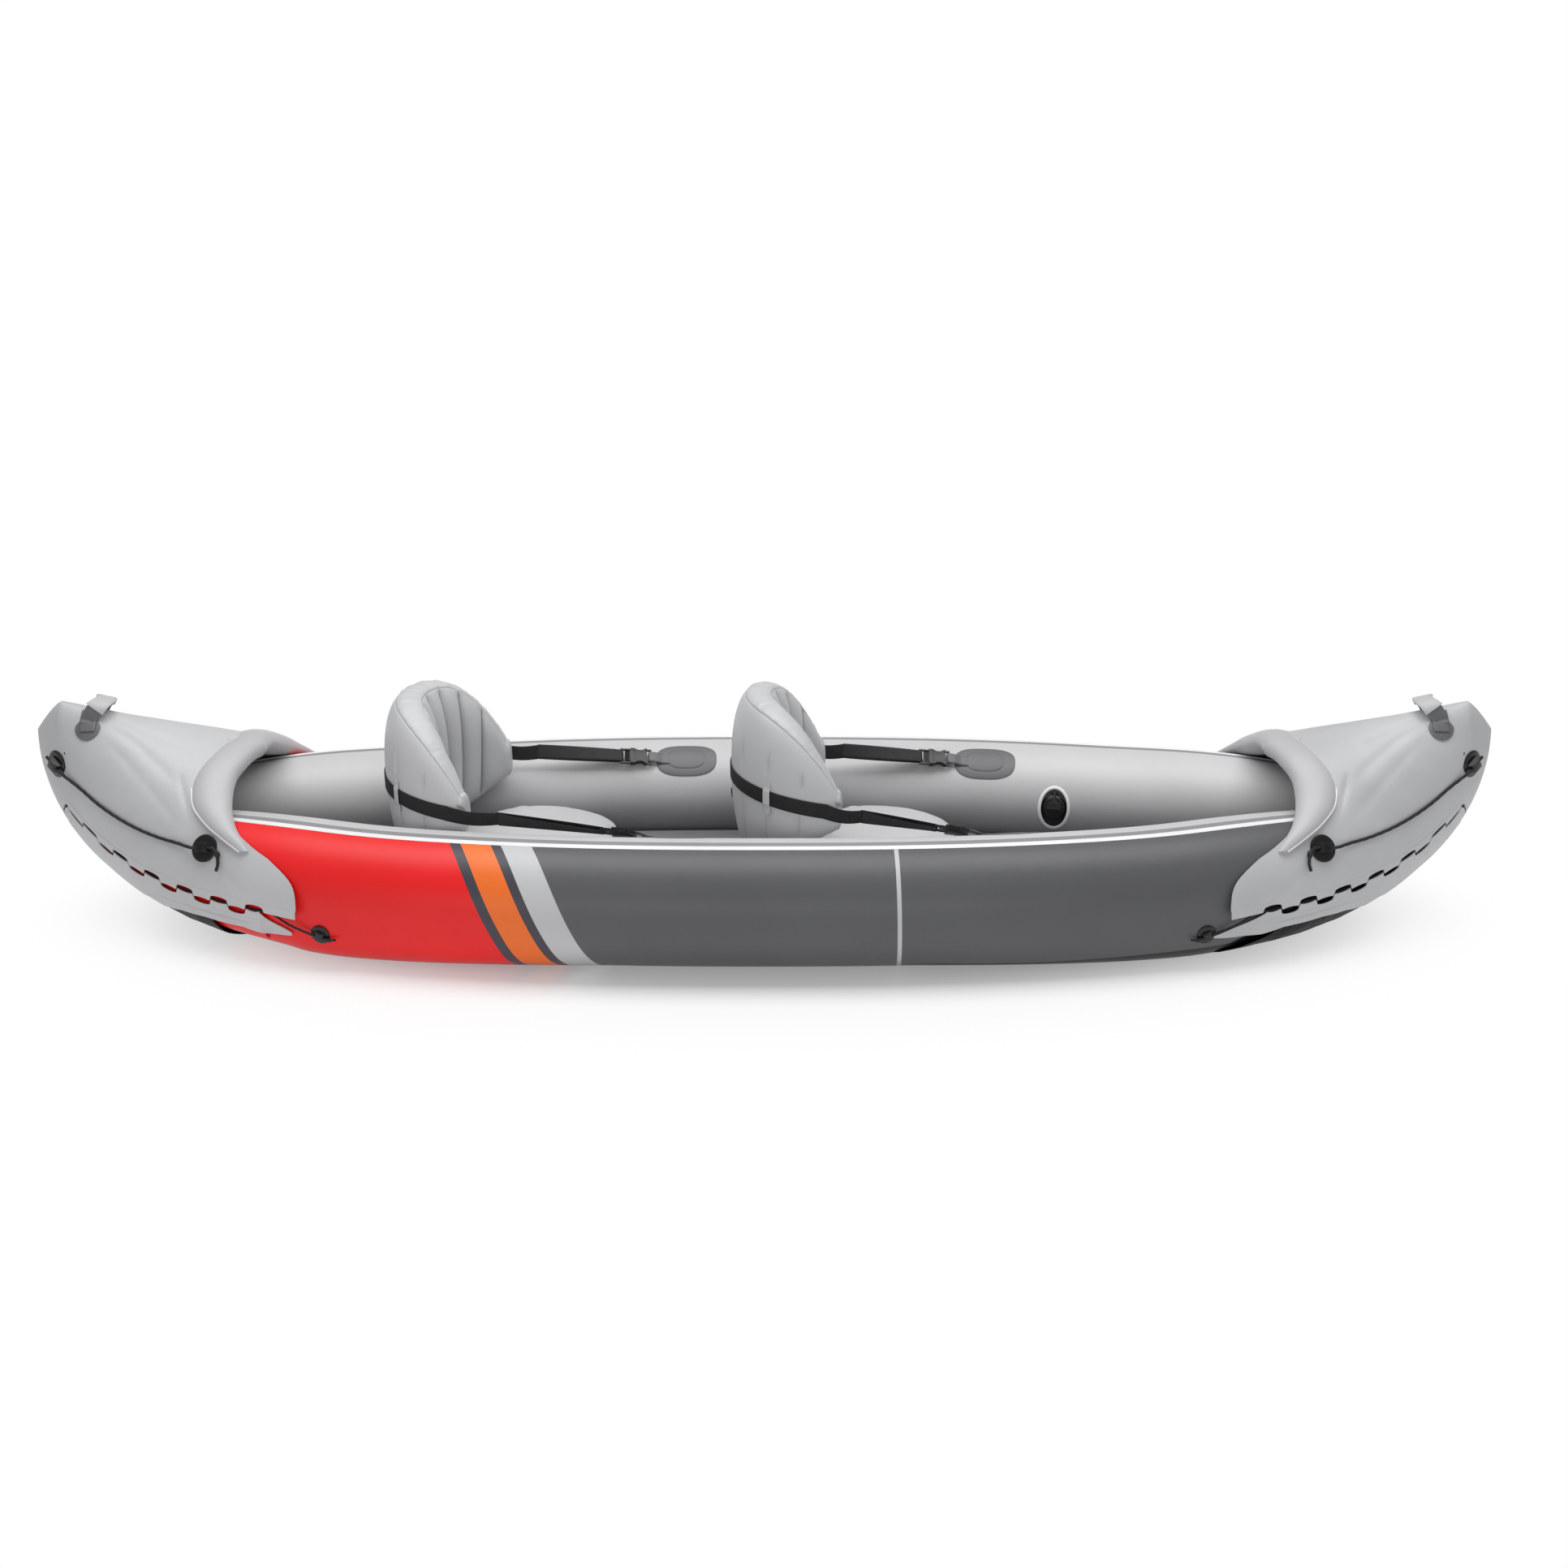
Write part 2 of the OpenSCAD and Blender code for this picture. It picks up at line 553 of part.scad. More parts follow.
// carry handles over the deck ridges
handle_lie = cover_t + seat_gap + 0.6;
patch_low = 52;
patch_high = 80;
function handle_patch_ring(a, side) =
  let (t = (a - patch_low)/(patch_high - patch_low),
    end = handle_w*0.72*sqrt(max(0.02, 1 - pow(1 - t/0.32, 2))),
    half = t < 0.32 ? end : lerp(handle_w*0.72, handle_w/2, clamp((t - 0.32)/0.2, 0, 1)))
  [cover_pt(handle_x + half, a, handle_lie, side),
    cover_pt(handle_x + half, a, handle_lie + patch_t, side),
    cover_pt(handle_x - half, a, handle_lie + patch_t, side),
    cover_pt(handle_x - half, a, handle_lie, side)];
module handle_patches() {
  color(dark)
    for (end = [0, 1], side = [-1, 1]) {
      mirror([end, 0, 0])
        skin([for (t = [0:1/11:1]) handle_patch_ring(lerp(patch_low, patch_high, t), side)],
          side > 0);
    }
}
strap_lie = handle_lie + patch_t + 4*seat_gap + strap_t/2;
grip_half = 32;
ridge_dir = unit([1, 0, ridge_slope]);
function handle_path() =
  let (gx = handle_x - handle_lean, top = ridge_z(gx) + cover_t + handle_rise,
    near = [for (a = [58:3.5:68.5]) cover_pt(handle_x, a, strap_lie, -1)],
    arch = [[gx + 12, -grip_half - 2, top - 11], [gx + 4, -grip_half + 8, top - 2.5],
      [gx, -grip_half*0.35, top]])
  concat(near, arch, flip_y([for (k = [2:-1:0]) arch[k]]), flip_y([for (k = [3:-1:0]) near[k]]));
function handle_wide() =
  let (near = [for (a = [58:3.5:68.5])
    cover_pt(handle_x + 8, a, 0, -1) - cover_pt(handle_x - 8, a, 0, -1)])
  concat(near, [for (k = [0:5]) ridge_dir], flip_y([for (k = [3:-1:0]) near[k]]));
module handle_strap() {
  color(black) ribbon(handle_path(), handle_wide(), handle_w - 4, strap_t);
}
module bow_handle_strap() { handle_strap(); }
module stern_handle_strap() { mirror([1, 0, 0]) handle_strap(); }
module handle_grip() {
  path = handle_path();
  wide = handle_wide();
  color(light)
    sleeve([for (k = [4:9]) strap_ring(path, wide, k, handle_w + 4, strap_t + 5)],
      [for (k = [4:9]) strap_ring(path, wide, k, handle_w - 4 + 2*seat_gap,
        strap_t + 2*seat_gap)]);
}
module bow_handle_grip() { handle_grip(); }
module stern_handle_grip() { mirror([1, 0, 0]) handle_grip(); }

// strap patches on the side chambers
function patch_ring(x0, side, t, long, arc, low, high) =
  let (half = arc/2*pow(max(0.004, 1 - pow(abs(t), 2.8)), 1/2.8), x = x0 + t*long/2)
  concat([for (k = [-2:2]) chamber_pt(x, side, patch_angle + k/2*half, low)],
    [for (k = [2:-1:-2]) chamber_pt(x, side, patch_angle + k/2*half, high)]);
patch_rows = [-0.998, -0.94, -0.8, -0.5, 0, 0.5, 0.8, 0.94, 0.998];
seats = [[rear_seat_x, rear_patch_x], [front_seat_x, front_patch_x]];
module strap_patches() {
  color(dark)
    for (s = seats, side = [-1, 1]) {
      skin([for (t = patch_rows)
        patch_ring(s[1], side, t, patch_l, patch_arc, patch_lie, patch_lie + patch_t)], side < 0);
    }
}

// buckles: the socket hangs on the patch's tab and the plug on the seat strap
socket_l = 36;
tab_lie = patch_lie + seat_gap + 0.5 + patch_t + strap_t/2;
function buckle_frame(seat, side) =
  let (o = chamber_pt(seat[1] - patch_l/2 - 14, side, patch_angle, buckle_h/2 + 4),
    n = chamber_normal(seat[1] - patch_l/2, side, patch_angle))
  frame_at(o, strap_end(seat[0], side) - o, n);
function bar_loop(m, x, turn) =
  [for (a = [90:-36:-90])
    place(m, [x + turn*(bar_d/2 + strap_t/2 + seat_gap)*cos(a), 0,
      (bar_d/2 + strap_t/2 + seat_gap)*sin(a)])];
module patch_tabs() {
  color(dark)
    for (s = seats, side = [-1, 1]) {
      m = buckle_frame(s, side);
      across = place(m, [0, 1, 0]) - place(m, [0, 0, 0]);
      on_patch = [for (t = [0.7, 0.3, -0.2, -0.6])
        chamber_pt(s[1] + t*patch_l/2, side, patch_angle, tab_lie)];
      loop = bar_loop(m, 0, 1);
      lead = [lerp(on_patch[3], loop[0], 0.55) + 1.5*(place(m, [0, 0, 1]) - place(m, [0, 0, 0]))];
      ribbon(concat(on_patch, lead, loop), [for (k = [1:11]) across], strap_w - 6, strap_t);
    }
}
module socket() {
  difference() {
    union() {
      translate([8, -buckle_w/2, -buckle_h/2]) cube([socket_l - 8, buckle_w, buckle_h]);
      for (side = [-1, 1]) {
        translate([-bar_d/2, side*(buckle_w/2 - 1.5) - 1.5, -bar_d/2])
          cube([12, 3, bar_d]);
      }
      translate([0, buckle_w/2 - 1, 0]) rotate([90, 0, 0])
        cylinder(d = bar_d, h = buckle_w - 2, $fn = 32);
    }
    translate([12, -buckle_w/2 + 3, -buckle_h/2 + 2.4])
      cube([socket_l, buckle_w - 6, buckle_h - 4.8]);
    for (side = [-1, 1]) {
      translate([24, side*(buckle_w/2 + 12), -buckle_h])
        cylinder(r = 17, h = 2*buckle_h, $fn = 64);
    }
  }
}
module buckle_sockets() {
  color(black)
    for (s = seats, side = [-1, 1]) {
      multmatrix(buckle_frame(s, side)) socket();
    }
}
plug_bar = socket_l + 30;
module plug() {
  inner = buckle_w - 6 - 2*run_gap;
  tall = buckle_h - 4.8 - 2*run_gap;
  difference() {
    union() {
      for (side = [-1, 1]) {
        translate([17, side*(inner/2 - 3) - 3, -tall/2]) cube([socket_l - 14, 6, tall]);
      }
      translate([15, -2.5, -tall/2]) cube([socket_l - 12, 5, tall]);
      translate([socket_l + run_gap, -buckle_w/2, -buckle_h/2]) cube([10, buckle_w, buckle_h]);
      for (side = [-1, 1]) {
        translate([socket_l + 5, side*(buckle_w/2 - 1.5) - 1.5, -bar_d/2])
          cube([28, 3, bar_d]);
      }
      translate([plug_bar, buckle_w/2 - 1, 0]) rotate([90, 0, 0])
        cylinder(d = bar_d, h = buckle_w - 2, $fn = 32);
    }
    for (side = [-1, 1]) {
      translate([24, side*(buckle_w/2 + 12), -buckle_h])
        cylinder(r = 14.5, h = 2*buckle_h, $fn = 64);
    }
  }
}
module rear_plug_port() { color(black) multmatrix(buckle_frame(seats[0], 1)) plug(); }
module rear_plug_starboard() { color(black) multmatrix(buckle_frame(seats[0], -1)) plug(); }
module front_plug_port() { color(black) multmatrix(buckle_frame(seats[1], 1)) plug(); }
module front_plug_starboard() { color(black) multmatrix(buckle_frame(seats[1], -1)) plug(); }

// backrests: bent in a U, with welded upright channels
function seat_pt(x0, p) =
  let (a = x0 < 0 ? rear_turn : front_turn)
  [x0 + p[0]*cos(a) - p[1]*sin(a), p[0]*sin(a) + p[1]*cos(a), p[2]];
function back_turn(u) = back_span*u;
function back_mid(u) =
  [-back_t/2 - 12 + back_wrap*(1 - cos(back_turn(u)))/(1 - cos(back_span)),
    back_half_w*sin(back_turn(u))/sin(back_span)];
function back_out(u) = [-cos(back_turn(u)), sin(back_turn(u))];
function back_low(u) = back_bottom + 125*pow(abs(u), 1.3);
function back_high(u) = back_top - 0.36*back_top*pow(abs(u), 2.4);
function back_thick(u) = back_t/2*(1 - 0.62*pow(abs(u), 3));
function back_groove(u) = pow(cos(90*back_channels*u), 2);
function back_ring(u, x0) =
  let (mid = back_mid(u), out = back_out(u), zc = (back_low(u) + back_high(u))/2,
    h = (back_high(u) - back_low(u))/2, t = back_thick(u)*(1 - 0.2*back_groove(u)))
  [for (k = [0:11])
    let (c = power(cos(30*k), 2/2.6)*t, s = power(sin(30*k), 2/2.6)*h)
    seat_pt(x0, [mid[0] + out[0]*c, mid[1] + out[1]*c, zc + s])];
back_steps = back_channels*4;
module backrest(x0) {
  color(light)
    skin([for (k = [0:back_steps]) back_ring(-1 + 2*k/back_steps, x0)], true);
}
module rear_backrest() { backrest(rear_seat_x); }
module front_backrest() { backrest(front_seat_x); }

// seat webbing round the backrests
strap_reach = 0.93;
strap_z = 0.635*back_top;
function strap_pt(u, x0, off) =
  let (mid = back_mid(u), out = back_out(u), t = back_thick(u) + off)
  seat_pt(x0, [mid[0] + out[0]*t, mid[1] + out[1]*t, strap_z - 30*u*u]);
strap_off = seat_gap + 0.4 + strap_t/2;
function strap_end(x0, side) = strap_pt(side*strap_reach, x0, strap_off);
module back_strap(x0) {
  color(black)
    ribbon([for (k = [-12:12]) strap_pt(strap_reach*k/12, x0, strap_off)],
      [for (k = [-12:12]) [0, 0, 1]], strap_w, strap_t);
}
module rear_back_strap() { back_strap(rear_seat_x); }
module front_back_strap() { back_strap(front_seat_x); }
module seat_strap(seat, side) {
  m = buckle_frame(seat, side);
  level = place(m, [0, 1, 0]) - place(m, [0, 0, 0]);
  across = level*sign(level[2]);
  loop = bar_loop(m, plug_bar, -1);
  end = strap_end(seat[0], side);
  start = end + unit(loop[0] - end)*(seat_gap + 1.2);
  path = concat([for (k = [0:5]) lerp(start, loop[0], k/6)], loop,
    [place(m, [plug_bar + 34, 0, -bar_d/2 - strap_t/2 - seat_gap])]);
  n = len(path);
  color(black)
    ribbon(path, [for (k = [0:n - 1]) lerp([0, 0, 1], across, clamp(k/5, 0, 1))],
      strap_w, strap_t);
}
module rear_strap_port() { seat_strap(seats[0], 1); }
module rear_strap_starboard() { seat_strap(seats[0], -1); }
module front_strap_port() { seat_strap(seats[1], 1); }
module front_strap_starboard() { seat_strap(seats[1], -1); }

// keepers that hold the webbing on the backrests
module keepers(x0) {
  color(light)
    for (side = [-1, 1]) {
      ribbon([for (k = [-2:2]) strap_pt(side*0.52 + 0.016*k, x0, strap_off + seat_gap + strap_t*0.9)],
        [for (k = [-2:2]) [0, 0, 1]], strap_w + 42, strap_t*0.8);
    }
}
module rear_keepers() { keepers(rear_seat_x); }
module front_keepers() { keepers(front_seat_x); }

// seat cushions: crowned, rounded at the front, drawn in towards the back
cushion_seam = 0.34*cushion_h;
function cushion_half(t) =
  t < 0.36 ? cushion_half_w*pow(max(0.02, t)/0.36, 0.46)
    : cushion_half_w*pow(max(0.004, 1 - pow((t - 0.36)/0.64, 2.5)), 1/2.5);
function cushion_ring(t, x0) =
  let (w = cushion_half(t), fill = pow(clamp(w/cushion_half_w, 0, 1), 0.45),
    z = floor_top + seat_gap + cushion_seam)
  [for (k = [0:11])
    [x0 + 4 + t*cushion_l, w*power(cos(30*k), 2/2.6),
      z + power(sin(30*k), 2/2.6)*(k < 6 ? (cushion_h - cushion_seam)*fill : cushion_seam)]];
cushion_rows = [0, 0.05, 0.12, 0.22, 0.36, 0.5, 0.62, 0.73, 0.82, 0.89, 0.94, 0.975, 0.995];
module cushion(x0) {
  color(light) skin([for (t = cushion_rows) cushion_ring(t, x0)], true);
}
module rear_cushion() { cushion(rear_seat_x); }
module front_cushion() { cushion(front_seat_x); }

// air valves in the cockpit side of each side chamber
valve_seat = 11;
valve_depth = 36;
valve_neck_r = 24;
valve_throat_r = 18;
valve_rim = 9;
cap_r = 20;
peg_r = 2;
peg_at = valve_d/2 - 8;
function valve_frame(side) =
  let (o = chamber_pt(valve_x, side, valve_angle, 0),
    n = chamber_normal(valve_x, side, valve_angle))
  frame_at(o, chamber_dir(valve_x, side), n);
module valve_oval(w, d, h) {
  for (end = [-1, 1]) {
    translate([0, end*(d - w)/2, 0]) cylinder(d = w, h = h, $fn = 64);
  }
  translate([-w/2, (w - d)/2, 0]) cube([w, d - w, h]);
}
module valve_base() {
  difference() {
    union() {
      translate([0, 0, -valve_seat + seat_gap]) valve_oval(valve_w, valve_d, 3);
      translate([0, 0, -valve_seat + seat_gap + 3])
        cylinder(d1 = 2*valve_neck_r + 8, d2 = 2*valve_neck_r + 3, h = 3, $fn = 64);
      translate([0, 0, -valve_depth])
        cylinder(r = valve_neck_r, h = valve_depth - valve_seat + valve_rim, $fn = 64);
      translate([0, peg_at, -valve_seat + seat_gap]) cylinder(r = peg_r + 2.5, h = 8, $fn = 32);
    }
    translate([0, 0, -valve_depth - 1])
      cylinder(r = valve_throat_r, h = valve_depth + 60, $fn = 64);
    translate([0, peg_at, -valve_seat + seat_gap + 1.5])
      cylinder(r = peg_r + run_gap, h = 20, $fn = 32);
  }
}
module valve_bases() {
  color(black) for (side = [-1, 1]) { multmatrix(valve_frame(side)) valve_base(); }
}
module valve_insert() {
  difference() {
    union() {
      translate([0, 0, -valve_depth + 8])
        cylinder(r = valve_throat_r - 0.1, h = valve_depth - 12, $fn = 64);
    }
    translate([0, 0, -valve_depth + 11]) cylinder(r = 11.5, h = valve_depth, $fn = 48);
    for (k = [0:3]) {
      rotate([0, 0, 90*k + 45]) translate([7, 0, -valve_depth + 7])
        cylinder(r = 3.4, h = 6, $fn = 32);
    }
  }
}
module valve_inserts() {
  color(black) for (side = [-1, 1]) { multmatrix(valve_frame(side)) valve_insert(); }
}
module valve_flaps() {
  color(light)
    for (side = [-1, 1]) {
      multmatrix(valve_frame(side))
        translate([0, 0, -valve_depth + 8 - 1.2 - seat_gap]) cylinder(r = 14, h = 1.2, $fn = 48);
    }
}
neck_r = 12;
leash_z = -valve_seat + valve_rim + run_gap;
module valve_leash() {
  difference() {
    union() {
      translate([0, 0, leash_z]) cylinder(r = neck_r + 5, h = 2.4, $fn = 48);
      translate([-3, 0, leash_z]) cube([6, peg_at, 2.4]);
      translate([0, peg_at, leash_z]) cylinder(r = 4, h = 2.4, $fn = 32);
      translate([0, peg_at, -valve_seat + seat_gap + 2]) cylinder(r = peg_r, h = 8.6, $fn = 32);
    }
    translate([0, 0, leash_z - 1]) cylinder(r = neck_r + run_gap, h = 6, $fn = 48);
  }
}
module port_valve_leash() { color(black) multmatrix(valve_frame(1)) valve_leash(); }
module starboard_valve_leash() { color(black) multmatrix(valve_frame(-1)) valve_leash(); }
module valve_cap() {
  translate([0, 0, leash_z - 12]) cylinder(r = 11.5 - run_gap, h = 12, $fn = 48);
  translate([0, 0, leash_z - run_gap]) cylinder(r = neck_r, h = 2.4 + 2*run_gap, $fn = 48);
  difference() {
    translate([0, 0, leash_z + 2.4 + run_gap]) cylinder(r = cap_r, h = 5, $fn = 64);
    for (k = [0:11]) {
      rotate([0, 0, 30*k]) translate([cap_r + 2, 0, leash_z]) cylinder(r = 3.4, h = 20, $fn = 24);
    }
  }
  translate([-15, -2.5, leash_z + 7 + run_gap]) cube([30, 5, 7]);
}
module port_valve_cap() { color(black) multmatrix(valve_frame(1)) valve_cap(); }
module starboard_valve_cap() { color(black) multmatrix(valve_frame(-1)) valve_cap(); }

// small plug valves of the rims and backrests
module plug_valve() {
  cylinder(d = 18, h = 1.6, $fn = 40);
  translate([0, 0, 1.6]) cylinder(d = 11, h = 2.4, $fn = 32);
  translate([0, 0, 4]) cylinder(d = 14, h = 1.8, $fn = 32);
  translate([0, -2.5, 4]) cube([15, 5, 1.8]);
}
rim_valve_angle = 83;
module rim_valves() {
  ring = rim_ring(lerp(rim_low, 90, (rim_steps - 1)/rim_steps), -1);
  top = lerp(ring[2], ring[1], 0.5);
  side_step = lerp(rim_ring(90, -1)[2], rim_ring(90, -1)[1], 0.5) - top;
  n = unit(cross(ring[1] - ring[2], side_step));
  color(dark)
    for (end = [0, 1]) {
      mirror([end, 0, 0])
        multmatrix(frame_at(top + side_step*0.3 + n*seat_gap*sign(n[2]), ring[1] - ring[2],
          n*sign(n[2])))
          plug_valve();
    }
}
module backrest_valve(x0) {
  u = 0.5*2/back_channels;
  mid = back_mid(u);
  out = back_out(u);
  slope = back_thick(u)*(1 - power(cos(30), 2/2.6))
    /(power(sin(30), 2/2.6)*(back_high(u) - back_low(u))/2);
  far = back_thick(u) - 60*slope + seat_gap;
  p = [mid[0] + out[0]*far, mid[1] + out[1]*far, (back_low(u) + back_high(u))/2 - 60];
  color(dark)
    translate([x0, 0, 0]) rotate([0, 0, x0 < 0 ? rear_turn : front_turn])
      multmatrix(frame_at(p, [-slope*out[0], -slope*out[1], -1], [out[0], out[1], -slope]))
        plug_valve();
}
module backrest_valve_rear() { backrest_valve(rear_seat_x); }
module backrest_valve_front() { backrest_valve(front_seat_x); }

side_chamber_port();
side_chamber_starboard();
gunwale_seams();
floor_cells();
floor_webs();
bottom_panel();
bow_cover();
stern_cover();
bow_rim();
stern_rim();
bow_keel_wrap();
stern_keel_wrap();
bow_lacing();
stern_lacing();
grab_line_bow_port();
grab_line_bow_starboard();
grab_line_stern_port();
grab_line_stern_starboard();
nose_eyelets();
side_eyelets();
lacing_eyelets();
handle_patches();
bow_handle_strap();
stern_handle_strap();
bow_handle_grip();
stern_handle_grip();
strap_patches();
patch_tabs();
buckle_sockets();
rear_plug_port();
rear_plug_starboard();
front_plug_port();
front_plug_starboard();
rear_strap_port();
rear_strap_starboard();
front_strap_port();
front_strap_starboard();
rear_back_strap();
front_back_strap();
rear_keepers();
front_keepers();
rear_cushion();
front_cushion();
rear_backrest();
front_backrest();
valve_bases();
valve_inserts();
valve_flaps();
port_valve_leash();
starboard_valve_leash();
port_valve_cap();
starboard_valve_cap();
rim_valves();
backrest_valve_rear();
backrest_valve_front();
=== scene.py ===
import json
import math

import bpy
from mathutils import Matrix, Vector, noise

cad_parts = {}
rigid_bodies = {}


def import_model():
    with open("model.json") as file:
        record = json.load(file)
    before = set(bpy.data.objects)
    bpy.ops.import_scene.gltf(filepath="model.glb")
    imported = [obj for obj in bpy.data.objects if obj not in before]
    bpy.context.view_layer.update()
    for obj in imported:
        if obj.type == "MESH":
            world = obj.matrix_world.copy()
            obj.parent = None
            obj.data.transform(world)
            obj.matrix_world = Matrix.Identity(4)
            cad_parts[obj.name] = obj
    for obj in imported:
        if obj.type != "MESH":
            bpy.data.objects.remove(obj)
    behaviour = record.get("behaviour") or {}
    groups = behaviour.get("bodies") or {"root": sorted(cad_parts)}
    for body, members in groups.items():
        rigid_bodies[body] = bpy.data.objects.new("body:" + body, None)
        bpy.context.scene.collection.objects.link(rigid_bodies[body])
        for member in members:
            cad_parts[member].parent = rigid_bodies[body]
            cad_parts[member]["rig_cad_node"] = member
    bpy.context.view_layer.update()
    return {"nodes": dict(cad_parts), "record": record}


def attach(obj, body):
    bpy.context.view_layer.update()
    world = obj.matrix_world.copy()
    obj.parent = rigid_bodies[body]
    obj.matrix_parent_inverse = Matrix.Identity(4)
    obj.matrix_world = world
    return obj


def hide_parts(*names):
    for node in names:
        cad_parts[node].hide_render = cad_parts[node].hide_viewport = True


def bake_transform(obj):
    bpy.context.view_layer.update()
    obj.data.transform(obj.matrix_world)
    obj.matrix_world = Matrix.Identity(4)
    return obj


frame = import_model()
cadNodes = frame["nodes"]
weldGap = 0.00002  # points closer than this are one
bothEnds = (("bow", 1), ("stern", -1))
bothSides = (("port", 1), ("starboard", -1))
print("frame loaded:", len(cadNodes), "nodes")


def clearSelection():
    if bpy.context.object is not None and bpy.context.object.mode != "OBJECT":
        bpy.ops.object.mode_set(mode="OBJECT")
    bpy.ops.object.select_all(action="DESELECT")


def pickUp(obj):
    clearSelection()
    obj.select_set(True)
    bpy.context.view_layer.objects.active = obj


def layGrid(name, rows, cols, place):  # place(row, col) gives each vertex its spot
    clearSelection()
    bpy.ops.mesh.primitive_grid_add(x_subdivisions=cols, y_subdivisions=rows, size=1)
    obj = bpy.context.object
    obj.name = obj.data.name = name
    spots = []
    for vertex in obj.data.vertices:
        row = round((vertex.co.y + 0.5)*rows)
        col = round((vertex.co.x + 0.5)*cols)
        spots.extend(place(row, col))
    obj.data.vertices.foreach_set("co", spots)
    obj.data.update()
    return obj


def editAll(obj, *steps):  # edit-mode steps on the whole mesh
    pickUp(obj)
    bpy.ops.object.mode_set(mode="EDIT")
    bpy.ops.mesh.select_all(action="SELECT")
    for step, settings in steps:
        step(**settings)
    bpy.ops.object.mode_set(mode="OBJECT")


def closeUp(obj):  # welds doubled points and turns the faces outwards
    editAll(obj, (bpy.ops.mesh.remove_doubles, {"threshold": weldGap}),
            (bpy.ops.mesh.normals_make_consistent, {"inside": False}))


def flipFaces(obj):
    editAll(obj, (bpy.ops.mesh.flip_normals, {}))


def faceAway(obj, centre):  # turns an open sheet so that it faces away from a point
    centre = Vector(centre)
    facing = sum((p.center - centre).dot(p.normal)*p.area for p in obj.data.polygons)
    if facing < 0:
        flipFaces(obj)


def finishWith(obj, kind, **settings):
    pickUp(obj)
    modifier = obj.modifiers.new(kind.title(), kind)
    for key, value in settings.items():
        setattr(modifier, key, value)
    bpy.ops.object.modifier_apply(modifier=modifier.name)


def smoothFaces(obj, angle=40):
    pickUp(obj)
    bpy.ops.object.shade_smooth_by_angle(angle=math.radians(angle))


def dress(obj, finish, slotName, body, *replaced):
    obj.data.materials.clear()
    obj.data.materials.append(finish)
    if body:
        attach(obj, body)
    if replaced:
        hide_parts(*replaced)
    return obj


def copyOf(obj, name):  # a copy with its own mesh
    pickUp(obj)
    bpy.ops.object.duplicate()
    copy = bpy.context.object
    copy.name = copy.data.name = name
    return copy


def otherEnd(obj, name):  # the same piece, mirrored for the other end of the boat
    copy = copyOf(obj, name)
    copy.data.transform(Matrix.Diagonal((-1, 1, 1, 1)))
    flipFaces(copy)
    return copy


def joinUp(first, *others):
    pickUp(first)
    for other in others:
        other.select_set(True)
    bpy.ops.object.join()
    return first


def mix(a, b, t):
    return a + (b - a)*t


def limit(value, low, high):
    return min(high, max(low, value))


def ease(value, low, high):
    t = limit((value - low)/(high - low), 0, 1)
    return t*t*(3 - 2*t)


def power(value, exponent):
    return math.copysign(abs(value)**exponent, value)


def sinD(angle):
    return math.sin(math.radians(angle))


def cosD(angle):
    return math.cos(math.radians(angle))


def lineAt(table, a):  # straight steps through a table
    for (x0, y0), (x1, y1) in zip(table, table[1:]):
        if a <= x1:
            return mix(y0, y1, limit((a - x0)/(x1 - x0), 0, 1))
    return table[-1][1]


def curveAt(table, a):  # a smooth curve through a table
    if a <= table[0][0]:
        return table[0][1]
    if a >= table[-1][0]:
        return table[-1][1]
    last = len(table) - 1
    k = max(i for i in range(last) if table[i][0] <= a)

    def slope(i):
        low, high = max(0, i - 1), min(last, i + 1)
        return (table[high][1] - table[low][1])/(table[high][0] - table[low][0])

    (x0, y0), (x1, y1) = table[k], table[k + 1]
    w = x1 - x0
    t = (a - x0)/w
    return ((2*t**3 - 3*t**2 + 1)*y0 + (t**3 - 2*t**2 + t)*w*slope(k)
            + (3*t**2 - 2*t**3)*y1 + (t**3 - t**2)*w*slope(k + 1))


def smoothPath(points, steps):  # rounds a run of points
    points = [Vector(p) for p in points]
    out = []
    for k in range(len(points) - 1):
        p0, p1 = points[max(0, k - 1)], points[k]
        p2, p3 = points[k + 1], points[min(len(points) - 1, k + 2)]
        for s in range(steps):
            t = s/steps
            out.append(0.5*(2*p1 + (p2 - p0)*t + (2*p0 - 5*p1 + 4*p2 - p3)*t*t
                            + (3*p1 - p0 - 3*p2 + p3)*t**3))
    return out + [points[-1]]


def evenPath(points, count):  # the same run with even steps
    lengths = [0.0]
    for a, b in zip(points, points[1:]):
        lengths.append(lengths[-1] + (b - a).length)
    out, k = [], 0
    for i in range(count + 1):
        goal = lengths[-1]*i/count
        while k < len(points) - 2 and lengths[k + 1] < goal:
            k += 1
        part = lengths[k + 1] - lengths[k]
        out.append(points[k].lerp(points[k + 1], limit((goal - lengths[k])/max(part, 1e-9), 0, 1)))
    return out


def pathLength(points):
    return sum((b - a).length for a, b in zip(points, points[1:]))


def runFrames(points, start):  # direction, side and up along a path, without twist
    frames, side = [], Vector(start)
    for k in range(len(points)):
        along = (points[min(k + 1, len(points) - 1)] - points[max(k - 1, 0)]).normalized()
        side = (side - along*side.dot(along)).normalized()
        frames.append((along, side, along.cross(side)))
    return frames


# camera at the photograph's angle, and soft studio light on a pale floor
view = {"place": (0.0416, -3.7557, 1.6391), "pitch": 20.045, "lens": 42.298}
studio = {"sky": 0.33, "overhead": 118, "front": 31, "floor": 0.90, "pool": (0.32, 0.70),
          "poolStretch": 0.42, "poolShift": 0.08, "clearUnder": 0.25}


def colour(red, green, blue):  # screen values to linear light
    return tuple((c/255/12.92 if c/255 <= 0.04045 else ((c/255 + 0.055)/1.055)**2.4)
                 for c in (red, green, blue)) + (1.0,)


